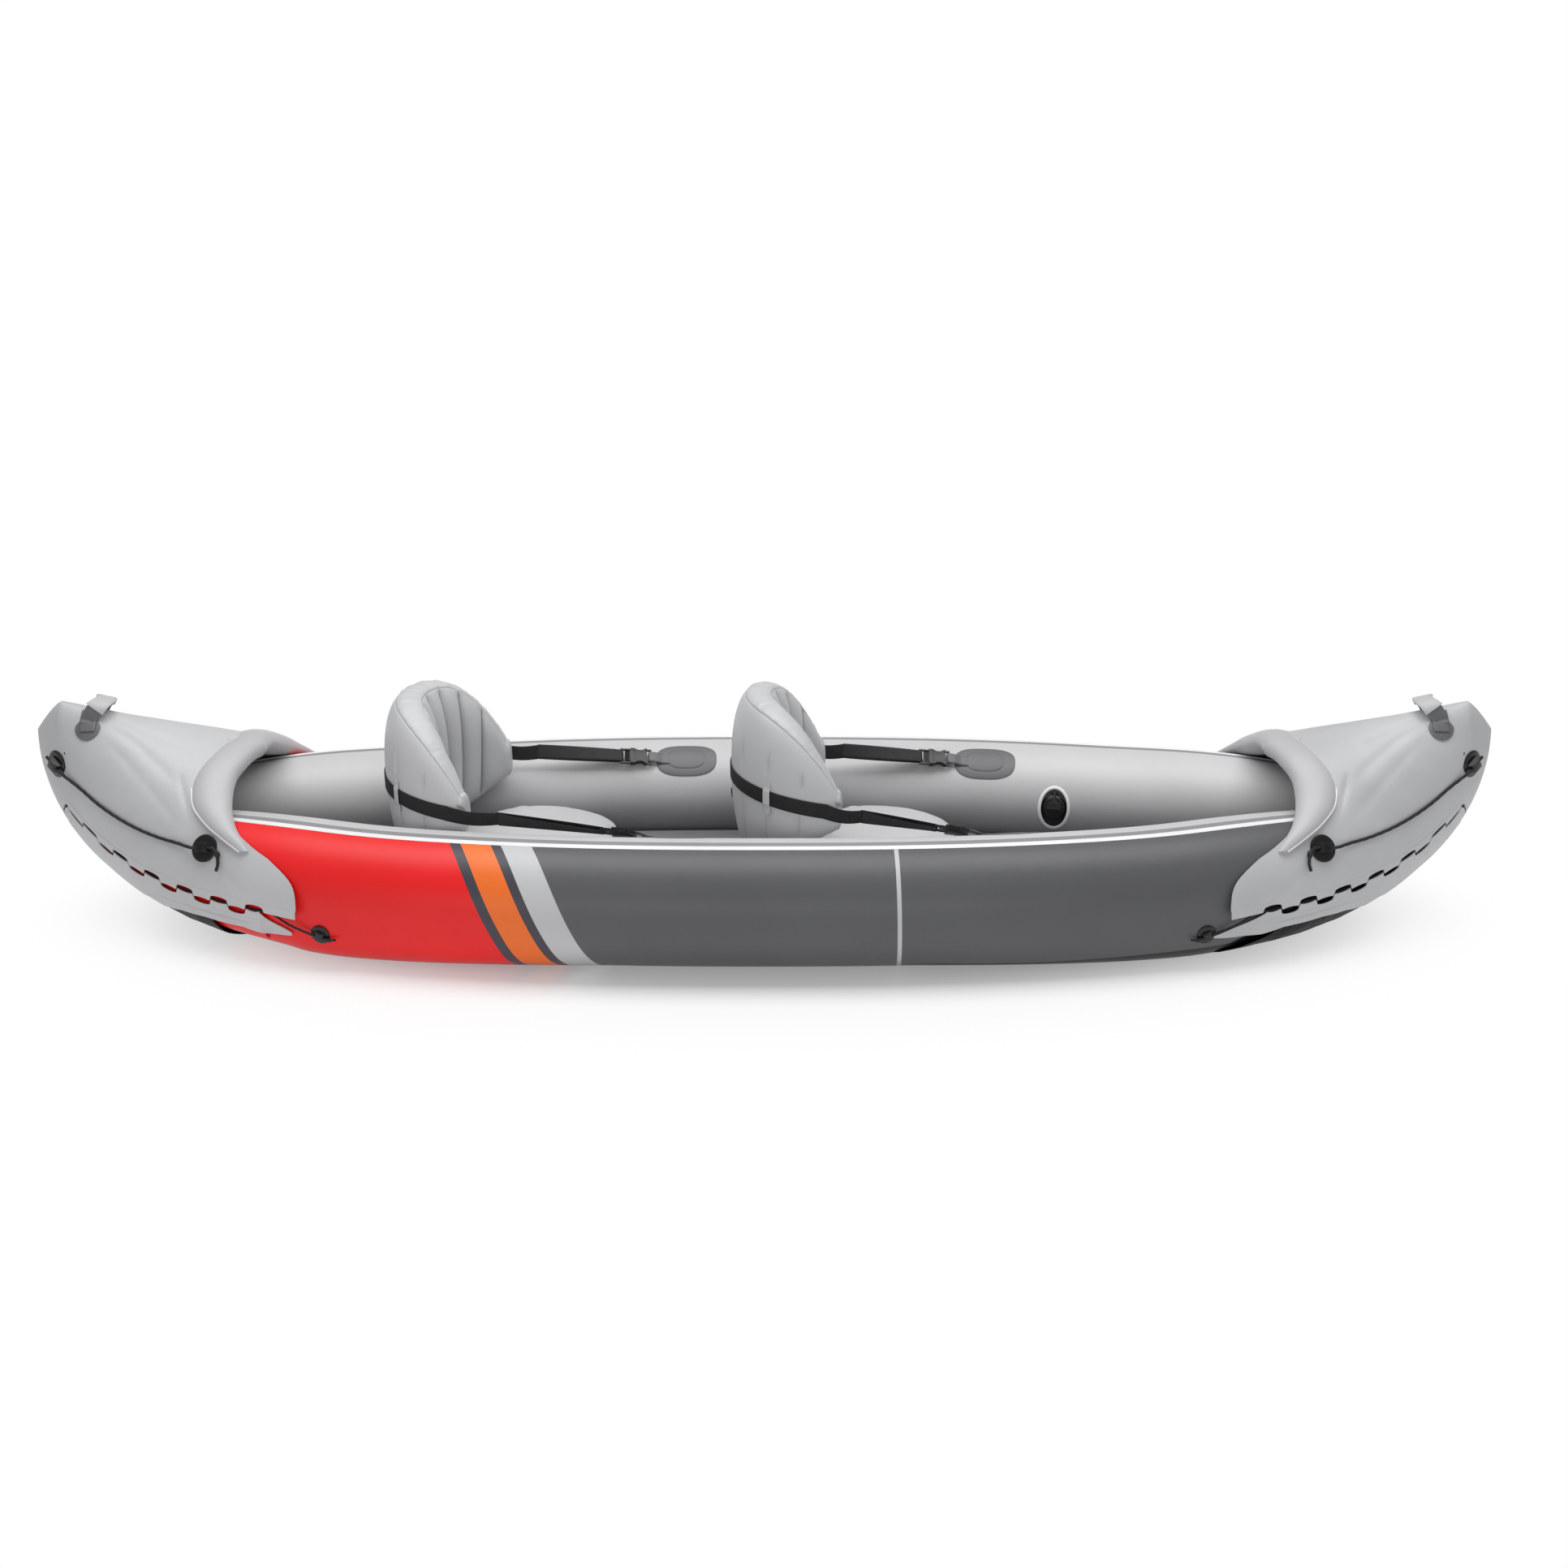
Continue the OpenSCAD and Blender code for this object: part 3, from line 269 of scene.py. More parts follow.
def shade(tint, gain, add=0.0):  # a lighter or darker tone of a colour
    return tuple(min(1, c*gain + add) for c in tint[:3]) + (1,)


class Wire:  # one value in a material's nodes
    def __init__(self, tree, socket):
        self.tree, self.socket = tree, socket

    def calc(self, operation, a, b=0.0):
        return addNode(self.tree, "ShaderNodeMath", {"operation": operation}, {0: a, 1: b})

    def __add__(self, other):
        return self.calc("ADD", self, other)

    def __radd__(self, other):
        return self.calc("ADD", other, self)

    def __sub__(self, other):
        return self.calc("SUBTRACT", self, other)

    def __rsub__(self, other):
        return self.calc("SUBTRACT", other, self)

    def __mul__(self, other):
        return self.calc("MULTIPLY", self, other)

    def __rmul__(self, other):
        return self.calc("MULTIPLY", other, self)

    def __pow__(self, other):
        return self.calc("POWER", self, other)

    def sine(self):
        return self.calc("SINE", self)

    def most(self, other):
        return self.calc("MAXIMUM", self, other)


def addNode(tree, kind, settings=None, sockets=None, out=0):
    node = tree.nodes.new(kind)
    for key, value in (settings or {}).items():
        if key == "stops":
            ramp = node.color_ramp.elements
            while len(ramp) < len(value):
                ramp.new(0.5)
            for stop, (at, tint) in zip(ramp, value):
                stop.position, stop.color = at, tint
        else:
            setattr(node, key, value)
    for key, value in (sockets or {}).items():
        if isinstance(value, Wire):
            tree.links.new(value.socket, node.inputs[key])
        else:
            node.inputs[key].default_value = value
    return Wire(tree, node.outputs[out])


def rise(value, low, high):  # 0 below low, 1 above high, eased between
    return addNode(value.tree, "ShaderNodeMapRange", {"interpolation_type": "SMOOTHSTEP"},
                   {"Value": value, "From Min": low, "From Max": high})


def band(value, low, high, soft):
    return rise(value, low - soft, low + soft)*(1 - rise(value, high - soft, high + soft))


def blendColour(share, a, b):
    return addNode(share.tree, "ShaderNodeMix", {"data_type": "RGBA"},
                   {0: share, 6: a, 7: b}, out=2)


def cloudy(tree, spot, scale, detail=3.0, rough=0.55):
    return addNode(tree, "ShaderNodeTexNoise", None,
                   {"Vector": spot, "Scale": scale, "Detail": detail, "Roughness": rough})


def bumped(height, distance, strength=1.0, under=None):
    sockets = {"Height": height, "Distance": distance, "Strength": strength}
    if under is not None:
        sockets["Normal"] = under
    return addNode(height.tree, "ShaderNodeBump", None, sockets)


def newFinish(name):
    finish = bpy.data.materials.new(name)
    finish.use_nodes = True
    tree = finish.node_tree
    shader = tree.nodes["Principled BSDF"]
    spot = addNode(tree, "ShaderNodeTexCoord", out=3)  # object coordinates
    return finish, tree, shader, spot


def feed(shader, **values):
    for key, value in values.items():
        socket = shader.inputs[key.replace("_", " ")]
        if isinstance(value, Wire):
            value.tree.links.new(value.socket, socket)
        else:
            socket.default_value = value


def uvOf(tree):  # along and across the piece's own map, from 0 to 1
    cut = tree.nodes.new("ShaderNodeSeparateXYZ")
    tree.links.new(addNode(tree, "ShaderNodeTexCoord", out=2).socket, cut.inputs[0])
    return Wire(tree, cut.outputs[0]), Wire(tree, cut.outputs[1])


def xyzOf(spot):
    cut = spot.tree.nodes.new("ShaderNodeSeparateXYZ")
    spot.tree.links.new(spot.socket, cut.inputs[0])
    return [Wire(spot.tree, cut.outputs[k]) for k in range(3)]


def vinylSkin(name, tint, rough, grain, tone=0.05):  # coated vinyl with a faint leather grain
    finish, tree, shader, spot = newFinish(name)
    patchy = cloudy(tree, spot, 2.6, 4.0)
    fine = cloudy(tree, spot, 420.0, 2.0)
    soft = cloudy(tree, spot, 34.0, 3.0)
    feed(shader, Base_Color=blendColour(rise(patchy, 0.3, 0.7), shade(tint, 1 - tone),
                                        shade(tint, 1 + tone)),
         Roughness=rough + (soft - 0.5)*0.12,
         Normal=bumped(fine*0.6 + soft*1.8, grain, 0.5))
    return finish


def camera():
    bpy.ops.object.camera_add(location=view["place"],
                              rotation=(math.radians(90 - view["pitch"]), 0, 0))
    eye = bpy.context.object
    eye.name = "photoCamera"
    eye.data.sensor_fit = "HORIZONTAL"
    eye.data.sensor_width = 36
    eye.data.lens = view["lens"]
    bpy.context.scene.camera = eye


def lamp(name, place, aim, size, watts):
    bpy.ops.object.light_add(type="AREA", location=place)
    light = bpy.context.object
    light.name = name
    light.data.shape = "RECTANGLE"
    light.data.size, light.data.size_y = size
    light.data.energy = watts
    light.rotation_euler = (Vector(aim) - Vector(place)).to_track_quat("-Z", "Y").to_euler()


def studioLight():
    world = bpy.data.worlds.new("studioSky")
    bpy.context.scene.world = world
    world.use_nodes = True
    tree = world.node_tree
    back = tree.nodes["Background"]
    seen = addNode(tree, "ShaderNodeLightPath", out=0)
    level = seen*(1 - studio["sky"]) + studio["sky"]
    tree.links.new(level.socket, back.inputs["Strength"])
    back.inputs["Color"].default_value = (1, 1, 1, 1)
    lamp("overheadSoftbox", (0.0, 0.1, 3.4), (0, 0, 0), (5.2, 2.0), studio["overhead"])
    lamp("frontSoftbox", (-0.3, -4.4, 1.15), (0, 0, 0.2), (5.0, 1.0), studio["front"])


def paleFloor():
    clearSelection()
    bpy.ops.mesh.primitive_plane_add(size=80, location=(0, 0, 0))
    floor = bpy.context.object
    floor.name = "studioFloor"
    finish, tree, shader, spot = newFinish("paleFloor")
    x, y = xyzOf(spot)[:2]
    away = ((x*studio["poolStretch"])**2.0 + (y + studio["poolShift"])**2.0)**0.5  # from the hull
    feed(shader, Base_Color=(studio["floor"], studio["floor"], studio["floor"] + 0.005, 1),
         Roughness=0.9)
    feed(shader, Specular_IOR_Level=0.1)
    plain = addNode(tree, "ShaderNodeEmission", None, {"Color": (1, 1, 1, 1), "Strength": 1.0})
    path = tree.nodes.new("ShaderNodeLightPath")
    eyeRay = Wire(tree, path.outputs["Is Camera Ray"])
    glossRay = Wire(tree, path.outputs["Is Glossy Ray"])
    clear = studio["clearUnder"]  # how much of the shadow is left out, least under the hull
    share = (rise(away, *studio["pool"])*(1 - clear) + clear)*eyeRay.most(glossRay)
    both = addNode(tree, "ShaderNodeMixShader", None,
                   {0: share, 1: Wire(tree, shader.outputs[0]), 2: plain})
    tree.links.new(both.socket, tree.nodes["Material Output"].inputs["Surface"])
    floor.data.materials.append(finish)


camera()
studioLight()
paleFloor()
bpy.context.scene.view_settings.view_transform = "Standard"
print("camera, lights and floor ready")

# hull lines, repeated from the part's own source, in metres
hull = {"halfLength": 1.56, "halfBeam": 0.455, "tubeRadius": 0.13, "endLift": 0.04,
        "ground": 0.0018, "noseTop": 0.455, "noseDrop": 0.066, "ridgeSlope": 0.2286,
        "planPower": 2.45, "keelPower": 2.35, "nosePower": 1.3, "beamPower": 3.3, "widest": 0.38}
halfLength = hull["halfLength"]
tubeOff = hull["halfBeam"] - hull["tubeRadius"]
planLength = halfLength*0.9615
taperStart = halfLength*0.577
tubeTip = halfLength*0.91
liftStart = halfLength*0.449
keelStart = halfLength*0.705
noseCut = halfLength*0.9615
noseTipZ = hull["noseTop"] - hull["noseDrop"]
bellyTable = [(0.19, 0), (0.51, 0.15), (0.58, 0.15), (0.615, 0.10), (0.70, 0.06), (0.83, 0)]
lowTable = [(0.609, 4.2), (0.673, 3.7), (0.737, 2.9), (0.82, 2.25), (0.904, 1.8)]


def tubeY(x):
    return tubeOff*(1 - (abs(x)/planLength)**hull["planPower"])


def tubeZ(x):
    climb = max(0, abs(x) - liftStart)/liftStart
    return hull["ground"] + hull["tubeRadius"] + hull["endLift"]*climb*climb


def tubeR(x):
    t = max(0, abs(x) - taperStart)/(tubeTip - taperStart)
    return min(hull["tubeRadius"]*math.sqrt(max(0.0006, 1 - t*t)), tubeY(x)*0.9 - 0.001)


def tubeMid(x, side):
    return Vector((x, side*tubeY(x), tubeZ(x)))


def tubeAxis(x, side):
    return (tubeMid(x + 0.001, side) - tubeMid(x - 0.001, side)).normalized()


def tubePt(x, side, a, off=0.0):  # a runs from the crown towards the cockpit, in degrees
    along = tubeAxis(x, side)
    level = Vector((0, 0, 1)).cross(along).normalized()
    up = along.cross(level)
    turn = a % 360
    swell = curveAt(bellyTable, abs(x)/halfLength)*sinD(2*turn)**2 if 180 < turn < 270 else 0
    return (tubeMid(x, side)
            + (tubeR(x)*(1 + swell) + off)*(level*(-side)*sinD(a) + up*cosD(a)))


def tubeOut(x, side, a):  # outward direction on a side tube
    return (tubePt(x, side, a, 0.01) - tubePt(x, side, a)).normalized()


def keelZ(x):
    t = limit((x - keelStart)/(halfLength - keelStart), 0, 1)
    return noseTipZ*(1 - (1 - t**hull["keelPower"])**(1/hull["keelPower"]))


def ridgeZ(x):
    if x > noseCut:
        t = (x - noseCut)/(halfLength - noseCut)
        return hull["noseTop"] - hull["noseDrop"]*0.97*min(1, t)**hull["nosePower"]
    return hull["noseTop"] - hull["ridgeSlope"]*(noseCut - x)


def formW(x):
    return hull["halfBeam"]*(1 - min(1, x/halfLength)**hull["beamPower"]) + 0.002


def widestZ(x):
    return keelZ(x) + hull["widest"]*(ridgeZ(x) - keelZ(x))


def lowPower(x):  # how full the section is below its widest line
    return lineAt(lowTable, x/halfLength)


def highPower(x):  # and above it
    return mix(2, 1.7, limit((x/halfLength - 0.628)/0.115, 0, 1))


def formPt(x, a, off=0.0, side=1):  # the pointed form of the ends; a runs from keel to ridge
    exponent = lowPower(x) if a < 0 else highPower(x)
    high = widestZ(x) - keelZ(x) if a < 0 else ridgeZ(x) - widestZ(x)
    y = (formW(x) + off)*max(0, cosD(a))**(2/exponent)
    if a < -80:
        y = max(0.0003, y)
    return Vector((x, side*y, widestZ(x) + (high + off)*power(sinD(a), 2/exponent)))


def formOut(x, a, side=1):
    across = formPt(x, min(90, a + 1.5), 0, side) - formPt(x, max(-89, a - 1.5), 0, side)
    along = formPt(x + 0.004, a, 0, side) - formPt(x - 0.004, a, 0, side)
    return (along.cross(across)*(-side)).normalized()


print("hull lines ready")

# side tubes: one skin each, with the printed panel outside and the pale panel inside, darkened towards the
# floor by painted shade
tubes = {"rows": 200, "cols": 96, "pocketAngle": 80, "pocketX": 0.675, "pocketDepth": 0.0112,
         "pocketWide": 0.0606, "pocketHigh": 0.0866}
# the second, darker pale is painted shade for the tubes' inside low down
panelColours = {"red": colour(240, 30, 32), "darkGrey": colour(91, 92, 94),
                "stripeDark": colour(70, 68, 76), "orange": colour(244, 116, 42),
                "lightGrey": colour(196, 197, 199), "pale": colour(202, 202, 203),
                "paintedShadeLow": colour(146, 146, 148), "bottom": colour(24, 24, 26)}
stripeTop = [-0.627, -0.6044, -0.5424, -0.5218, -0.459]  # stripe edges at the crown seam
stripeLean = 0.00102  # metres along the hull for each degree round the tube
# the printed panel's edges in degrees round the tube, the thin stripe, and the dark band at the bow
panelLines = {"top": 348.0, "bottom": 187.0, "leanFrom": 342.0, "edge": 0.25, "soft": 0.0006,
              "thinX": 0.2605, "thinLean": 0.00006, "thinWide": 0.0085,
              "dark": (221.0, 221.8), "darkFrom": (0.26, 0.36), "darkClimb": ((0.4, 0.9, 12.0),
                                                                             (0.94, 1.08, 22.0))}


def hullSkin():
    finish, tree, shader, spot = newFinish("printedHullSkin")
    x = xyzOf(spot)[0]
    angle = uvOf(tree)[1]*360.0
    lines, paint = panelLines, panelColours
    soft = lines["soft"]
    place = x - (lines["leanFrom"] - angle)*stripeLean
    tint = blendColour(rise(place, stripeTop[0] - soft, stripeTop[0] + soft),
                       paint["red"], paint["stripeDark"])
    for edge, stripe in zip(stripeTop[1:], ("orange", "stripeDark", "lightGrey", "darkGrey")):
        tint = blendColour(rise(place, edge - soft, edge + soft), tint, paint[stripe])
    thin = x - ((lines["top"] - angle)*lines["thinLean"] + lines["thinX"])
    tint = blendColour(band(thin, 0.0, lines["thinWide"], soft), tint, paint["lightGrey"])
    outside = band(angle, lines["bottom"], lines["top"], lines["edge"])
    # painted shade: the pale inside panel darkens from the crown down towards the floor, where the cockpit
    # lies in shadow
    inside = blendColour(rise(angle, 35.0, 125.0), paint["pale"], paint["paintedShadeLow"])
    tint = blendColour(outside, inside, tint)
    edge = angle
    for start, stop, degrees in lines["darkClimb"]:
        edge = edge - rise(x, start, stop)*degrees
    under = rise(x, *lines["darkFrom"])*(1.0 - rise(edge, *lines["dark"]))
    tint = blendColour(under*outside, tint, paint["bottom"])
    patchy = cloudy(tree, spot, 3.2, 5.0)
    fine = cloudy(tree, spot, 520.0, 2.0)
    ripple = cloudy(tree, spot, 26.0, 3.0)
    dull = addNode(tree, "ShaderNodeHueSaturation", None,
                   {"Value": rise(patchy, 0.25, 0.75)*0.1 + 0.95, "Color": tint})
    feed(shader, Specular_IOR_Level=0.36, Base_Color=dull,
         Roughness=(ripple - 0.5)*0.1 + 0.42 - outside*0.03,
         Normal=bumped(fine*0.5 + ripple*1.5, 0.0005, 0.5))
    return finish


hullFinish = hullSkin()
floorVinyl = vinylSkin("floorVinyl", colour(112, 113, 115), 0.46, 0.0005)
seatVinyl = vinylSkin("seatVinyl", colour(198, 199, 201), 0.44, 0.0006)
rimVinyl = vinylSkin("rimVinyl", colour(187, 187, 189), 0.4, 0.0005)
seamVinyl = vinylSkin("seamVinyl", colour(238, 238, 239), 0.4, 0.0004)
patchVinyl = vinylSkin("patchVinyl", colour(104, 105, 107), 0.46, 0.0006, 0.08)


def alongHull(k, rows, reach):  # rows along the boat, closer towards the ends
    return reach*math.sin(math.pi/2*(2*k/rows - 1))


def sideTube(name, side):
    rows, cols = tubes["rows"], tubes["cols"]

    def place(row, col):  # the map's second number runs round the tube from the crown
        x = alongHull(col, rows, tubeTip*0.9996)
        return tubeMid(x, side) if col in (0, rows) else tubePt(x, side, 360*(row % cols)/cols)

    skin = layGrid(name, cols, rows, place)
    closeUp(skin)
    x, a = tubes["pocketX"], tubes["pocketAngle"]
    out = tubeOut(x, side, a)
    spot = tubePt(x, side, a)
    run = tubeAxis(x, side)
    run = (run - out*run.dot(out)).normalized()
    tall = out.cross(run)
    clearSelection()
    bpy.ops.mesh.primitive_cylinder_add(vertices=64, radius=tubes["pocketWide"]/2, depth=0.06)
    cutter = bpy.context.object
    for vertex in cutter.data.vertices:  # drawn out into an oval
        vertex.co.y *= tubes["pocketHigh"]/tubes["pocketWide"]
    turn = Matrix((run, tall, out)).transposed().to_4x4()
    cutter.data.transform(Matrix.Translation(spot + out*(0.03 - tubes["pocketDepth"])) @ turn)
    cutter.data.update()
    finishWith(skin, "BOOLEAN", object=cutter, operation="DIFFERENCE", solver="EXACT")
    bpy.data.objects.remove(cutter)
    smoothFaces(skin, 50)
    return skin


for sideName, side in bothSides:
    dress(sideTube("sideTube" + sideName.title(), side), hullFinish,
          "hull_colour", "hull", "side_chamber_" + sideName)
print("side tubes ready")


def loft(name, rings, angle=60):  # a closed smooth skin over rings of points
    around = len(rings[0])
    first, last = (sum(ring, Vector())/around for ring in (rings[0], rings[-1]))
    rings = [[first]*around] + rings + [[last]*around]
    obj = layGrid(name, len(rings) - 1, around, lambda row, col: rings[row][col % around])
    closeUp(obj)
    smoothFaces(obj, angle)
    return obj


def openSkin(name, rows, cols, place, centre, angle=60, thick=0, offset=1):  # gives its area too
    skin = layGrid(name, rows, cols, place)
    closeUp(skin)
    faceAway(skin, centre)
    area = sum(p.area for p in skin.data.polygons)
    if thick:
        finishWith(skin, "SOLIDIFY", thickness=thick, offset=offset)
    smoothFaces(skin, angle)
    return skin, area


def scaleMap(obj, across, along):  # the piece's map in metres, for a weave at its real size
    for corner in obj.data.uv_layers.active.data:
        corner.uv = (corner.uv[0]*across, corner.uv[1]*along)


def ribbonStrap(name, path, wides, width, thick, soft=0.46):
    profile = [(-0.5, 0)] + [(-soft + 2*soft*k/8, 0.5) for k in range(9)]
    profile += [(-a, -b) for a, b in profile]
    rings = []
    for k, point in enumerate(path):
        along = (path[min(k + 1, len(path) - 1)] - path[max(k - 1, 0)]).normalized()
        across = (wides[k] - along*wides[k].dot(along)).normalized()
        up = along.cross(across)
        wide = width[k] if isinstance(width, list) else width
        rings.append([point + across*(a*wide) + up*(b*thick) for a, b in profile])
    strap = loft(name, rings, 50)
    scaleMap(strap, 2*(max(width) if isinstance(width, list) else width), pathLength(path))
    return strap


def ropeTube(name, path, radii, lobes=3, lay=0.022, around=18):  # twisted strands
    frames = runFrames(path, (0.31, 0.2, 0.93))
    rings, gone = [], 0.0
    for k, point in enumerate(path):
        gone += (point - path[k - 1]).length if k else 0
        along, side, up = frames[k]
        ring = []
        for j in range(around):
            a = 2*math.pi*j/around
            strand = abs(math.cos(lobes/2*(a - 2*math.pi*gone/lay/lobes)))
            ring.append(point + radii[k]*(0.8 + 0.2*strand)*(side*math.cos(a) + up*math.sin(a)))
        rings.append(ring)
    rope = loft(name, rings)
    scaleMap(rope, 0.02, gone)
    return rope


def atEnd(point, end):  # the same point at the bow or the stern
    return Vector((point.x*end, point.y, point.z))


def otherSide(point):
    return Vector((point.x, -point.y, point.z))


def frameAt(spot, along, near):
    x = Vector(along).normalized()
    y = Vector(near).cross(x).normalized()
    turn = Matrix((x, y, x.cross(y))).transposed().to_4x4()
    return Matrix.Translation(spot) @ turn


def nodeCopy(node, name, edge, finish, slotName, body):  # a cleaned copy with softened edges
    copy = copyOf(cadNodes[node], name)
    copy.parent = None
    del copy["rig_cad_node"]
    editAll(copy, (bpy.ops.mesh.remove_doubles, {"threshold": weldGap/2}),
            (bpy.ops.mesh.dissolve_limited, {"angle_limit": math.radians(1.5)}))
    sharp = 32
    finishWith(copy, "BEVEL", width=edge, segments=3, limit_method="ANGLE",
               angle_limit=math.radians(sharp), harden_normals=False)
    smoothFaces(copy, sharp)
    return dress(copy, finish, slotName, body, node)


def wovenStrap(name, tint, ribs):  # ribbed webbing; the map is in metres
    finish, tree, shader, spot = newFinish(name)
    across, along = uvOf(tree)
    rib = (along*(2*math.pi/ribs)).sine()*0.5 + 0.5
    thread = (across*(2*math.pi/0.0016) + along*(math.pi/ribs)).sine()*0.5 + 0.5
    worn = cloudy(tree, spot, 60.0, 4.0)
    pale = shade(tint, 1.9)
    feed(shader, Base_Color=blendColour(rib*thread*0.55 + rise(worn, 0.45, 0.8)*0.2, tint, pale),
         Roughness=worn*0.2 + 0.58, Normal=bumped(rib*0.7 + thread*0.4, 0.0006, 0.7))
    return finish


def mouldedPlastic(name, tint, rough):
    finish, tree, shader, spot = newFinish(name)
    fine = cloudy(tree, spot, 900.0, 2.0)
    worn = cloudy(tree, spot, 45.0, 4.0)
    pale = shade(tint, 1.5, 0.002)
    feed(shader, Base_Color=blendColour(rise(worn, 0.5, 0.85)*0.5, tint, pale),
         Roughness=rough + (worn - 0.5)*0.2, Normal=bumped(fine, 0.0002, 0.35))
    return finish


def ropeFibre():
    finish, tree, shader, spot = newFinish("blackRope")
    across, along = uvOf(tree)
    fibre = (along*(2*math.pi/0.0026) + across*420.0).sine()*0.5 + 0.5
    worn = cloudy(tree, spot, 300.0, 3.0)
    feed(shader, Base_Color=blendColour(fibre*0.5 + worn*0.3, colour(9, 9, 10), colour(36, 36, 38)),
         Roughness=worn*0.2 + 0.55, Normal=bumped(fibre + worn*0.5, 0.0004, 0.6))
    return finish


def bottomSkin():  # tough ribbed skin of the bottom panel
    finish, tree, shader, spot = newFinish("bottomSkin")
    wave = cloudy(tree, spot, 38.0, 3.0, 0.6)
    fine = cloudy(tree, spot, 400.0, 2.0)
    feed(shader, Specular_IOR_Level=0.16,
         Base_Color=blendColour(rise(wave, 0.35, 0.7), colour(8, 8, 9), colour(27, 27, 29)),
         Roughness=wave*0.25 + 0.38, Normal=bumped(wave*2.0 + fine*0.1, 0.004, 0.8))
    return finish


def coverCloth():  # coated cloth of the spray covers
    finish, tree, shader, spot = newFinish("coverCloth")
    patchy = cloudy(tree, spot, 2.2, 4.0)
    soft = cloudy(tree, spot, 9.0, 3.0)
    x, y, z = xyzOf(spot)
    weave = ((x*3400.0).sine() + ((y + z)*3400.0).sine())*0.25 + 0.5
    feed(shader, Base_Color=blendColour(rise(patchy, 0.3, 0.7), colour(182, 183, 185),
                                        colour(198, 199, 201)),
         Roughness=soft*0.16 + 0.36,
         Normal=bumped(soft*6.0 + weave*0.05, 0.0012, 0.5))
    return finish


blackWebbing = wovenStrap("blackWebbing", colour(17, 17, 19), 0.0021)
coarseWebbing = wovenStrap("coarseWebbing", colour(30, 30, 32), 0.0042)
blackPlastic = mouldedPlastic("blackPlastic", colour(13, 13, 14), 0.32)
darkRubber = mouldedPlastic("darkRubber", colour(62, 62, 64), 0.6)
gripSleeve = vinylSkin("gripSleeve", colour(186, 187, 189), 0.5, 0.0008, 0.07)
ropeFinish = ropeFibre()
panelFinish = bottomSkin()
coverFinish = coverCloth()

# lines of the laced covers, in metres
laces = {"start": halfLength*0.647, "end": halfLength*0.955, "stem": halfLength*0.976, "tabs": 6,
         "gap": 0.0155, "noseGap": 0.0095, "tabHigh": 0.012, "cordThick": 0.005, "ropeThick": 0.007,
         "drop": (0.011, 0.022), "stepRun": 0.002, "rowLong": 0.009}
lacePitch = (laces["end"] - laces["start"])/laces["tabs"]
clothThick = 0.0024


def dropAngle(x, drop):  # the angle of a point this far below the widest line
    if drop < 0:
        share = limit(-drop/(ridgeZ(x) - widestZ(x)), 0, 1)
        return math.degrees(math.asin(share**(highPower(x)/2)))
    share = limit(drop/(widestZ(x) - keelZ(x)), 0, 1)
    return -math.degrees(math.asin(share**(lowPower(x)/2)))


def laceDrop(x):
    bend = limit((x - laces["end"])/(laces["stem"] - laces["end"]), 0, 1)
    share = limit((x - laces["start"])/(laces["end"] - laces["start"]), 0, 1)
    return mix(mix(*laces["drop"], share), widestZ(x) - keelZ(x), bend*bend)


def edgeAngle(x):
    return dropAngle(x, laceDrop(x))


def laceStep(x):  # the tabs step up and down
    if not laces["start"] < x < laces["end"]:
        return 0
    f = ((x - laces["start"])/lacePitch) % 1
    w = laces["stepRun"]/lacePitch
    if f < w:
        return f/w
    if f < 0.5 - w:
        return 1
    if f < 0.5 + w:
        return (0.5 + w - f)/w - 1
    return -1 if f < 1 - w else (f - 1)/w


def laceGap(x):  # rounded slots between the tabs, nearly closed at each step
    f = ((x - laces["start"])/lacePitch*2) % 1
    inside = laces["start"] < x < laces["end"]
    gap = mix(laces["gap"], laces["noseGap"], (x - laces["start"])/(laces["end"] - laces["start"]))
    return gap*(0.2 + 0.8*max(0, sinD(180*f))**0.3) if inside else laces["noseGap"]*0.3


def laceRows():
    marks = []
    for k in range(laces["tabs"]*2 + 1):
        mark = laces["start"] + k*lacePitch/2
        marks += [mark - 0.0019, mark + 0.0019]
    rows = []
    for a, b in zip(marks, marks[1:]):
        steps = max(1, round((b - a)/laces["rowLong"]))
        rows += [mix(a, b, s/steps) for s in range(steps)]
    return rows + [marks[-1]]


# grab lines: twisted rope from the nose eyelet to a knotted tail below the side eyelet
loopHigh = 0.003 + laces["ropeThick"]/2 + 0.0007 + 0.0025
eyes = {"noseX": halfLength*0.967, "sideX": halfLength*0.7315, "anchorX": halfLength*0.553,
        "anchorAngle": -113}
knots = {"swell": 0.8, "grabAt": 0.036, "grabReach": 0.009, "laceAt": 0.018, "laceReach": 0.007}
eyes["noseAngle"] = mix(edgeAngle(eyes["noseX"]), 90, 3/7)
eyes["sideAngle"] = mix(edgeAngle(eyes["sideX"]), 90, 2/7)


def eyeFrame(x, a, drop, side):
    spot = formPt(x, a, clothThick + 0.0008, side)
    return frameAt(spot, formPt(x - 0.02, a + drop, 0, side) - formPt(x, a, 0, side),
                   formOut(x, a, side))


def grabPath(side):
    a = eyeFrame(eyes["noseX"], eyes["noseAngle"], -1.2, side)
    b = eyeFrame(eyes["sideX"], eyes["sideAngle"], 1, side)
    lie = clothThick + laces["ropeThick"]/2 + 0.0004
    points = [a @ Vector((s, 0, loopHigh)) for s in (-0.026, 0, 0.024)]
    for k in range(7):
        t = 0.17 + 0.11*k
        points.append(formPt(mix(eyes["noseX"], eyes["sideX"], t),
                             mix(eyes["noseAngle"], eyes["sideAngle"], t) - 2.5*sinD(180*t),
                             lie, side))
    tail = [(-0.028, 0, 0), (0, 0, 0), (0.022, 0, 0), (0.030, -0.004, 0), (0.037, -0.014, -0.002),
            (0.040, -0.030, -0.004), (0.038, -0.048, -0.005)]
    points += [b @ Vector((x, side*y, loopHigh + z)) for x, y, z in tail]
    return points


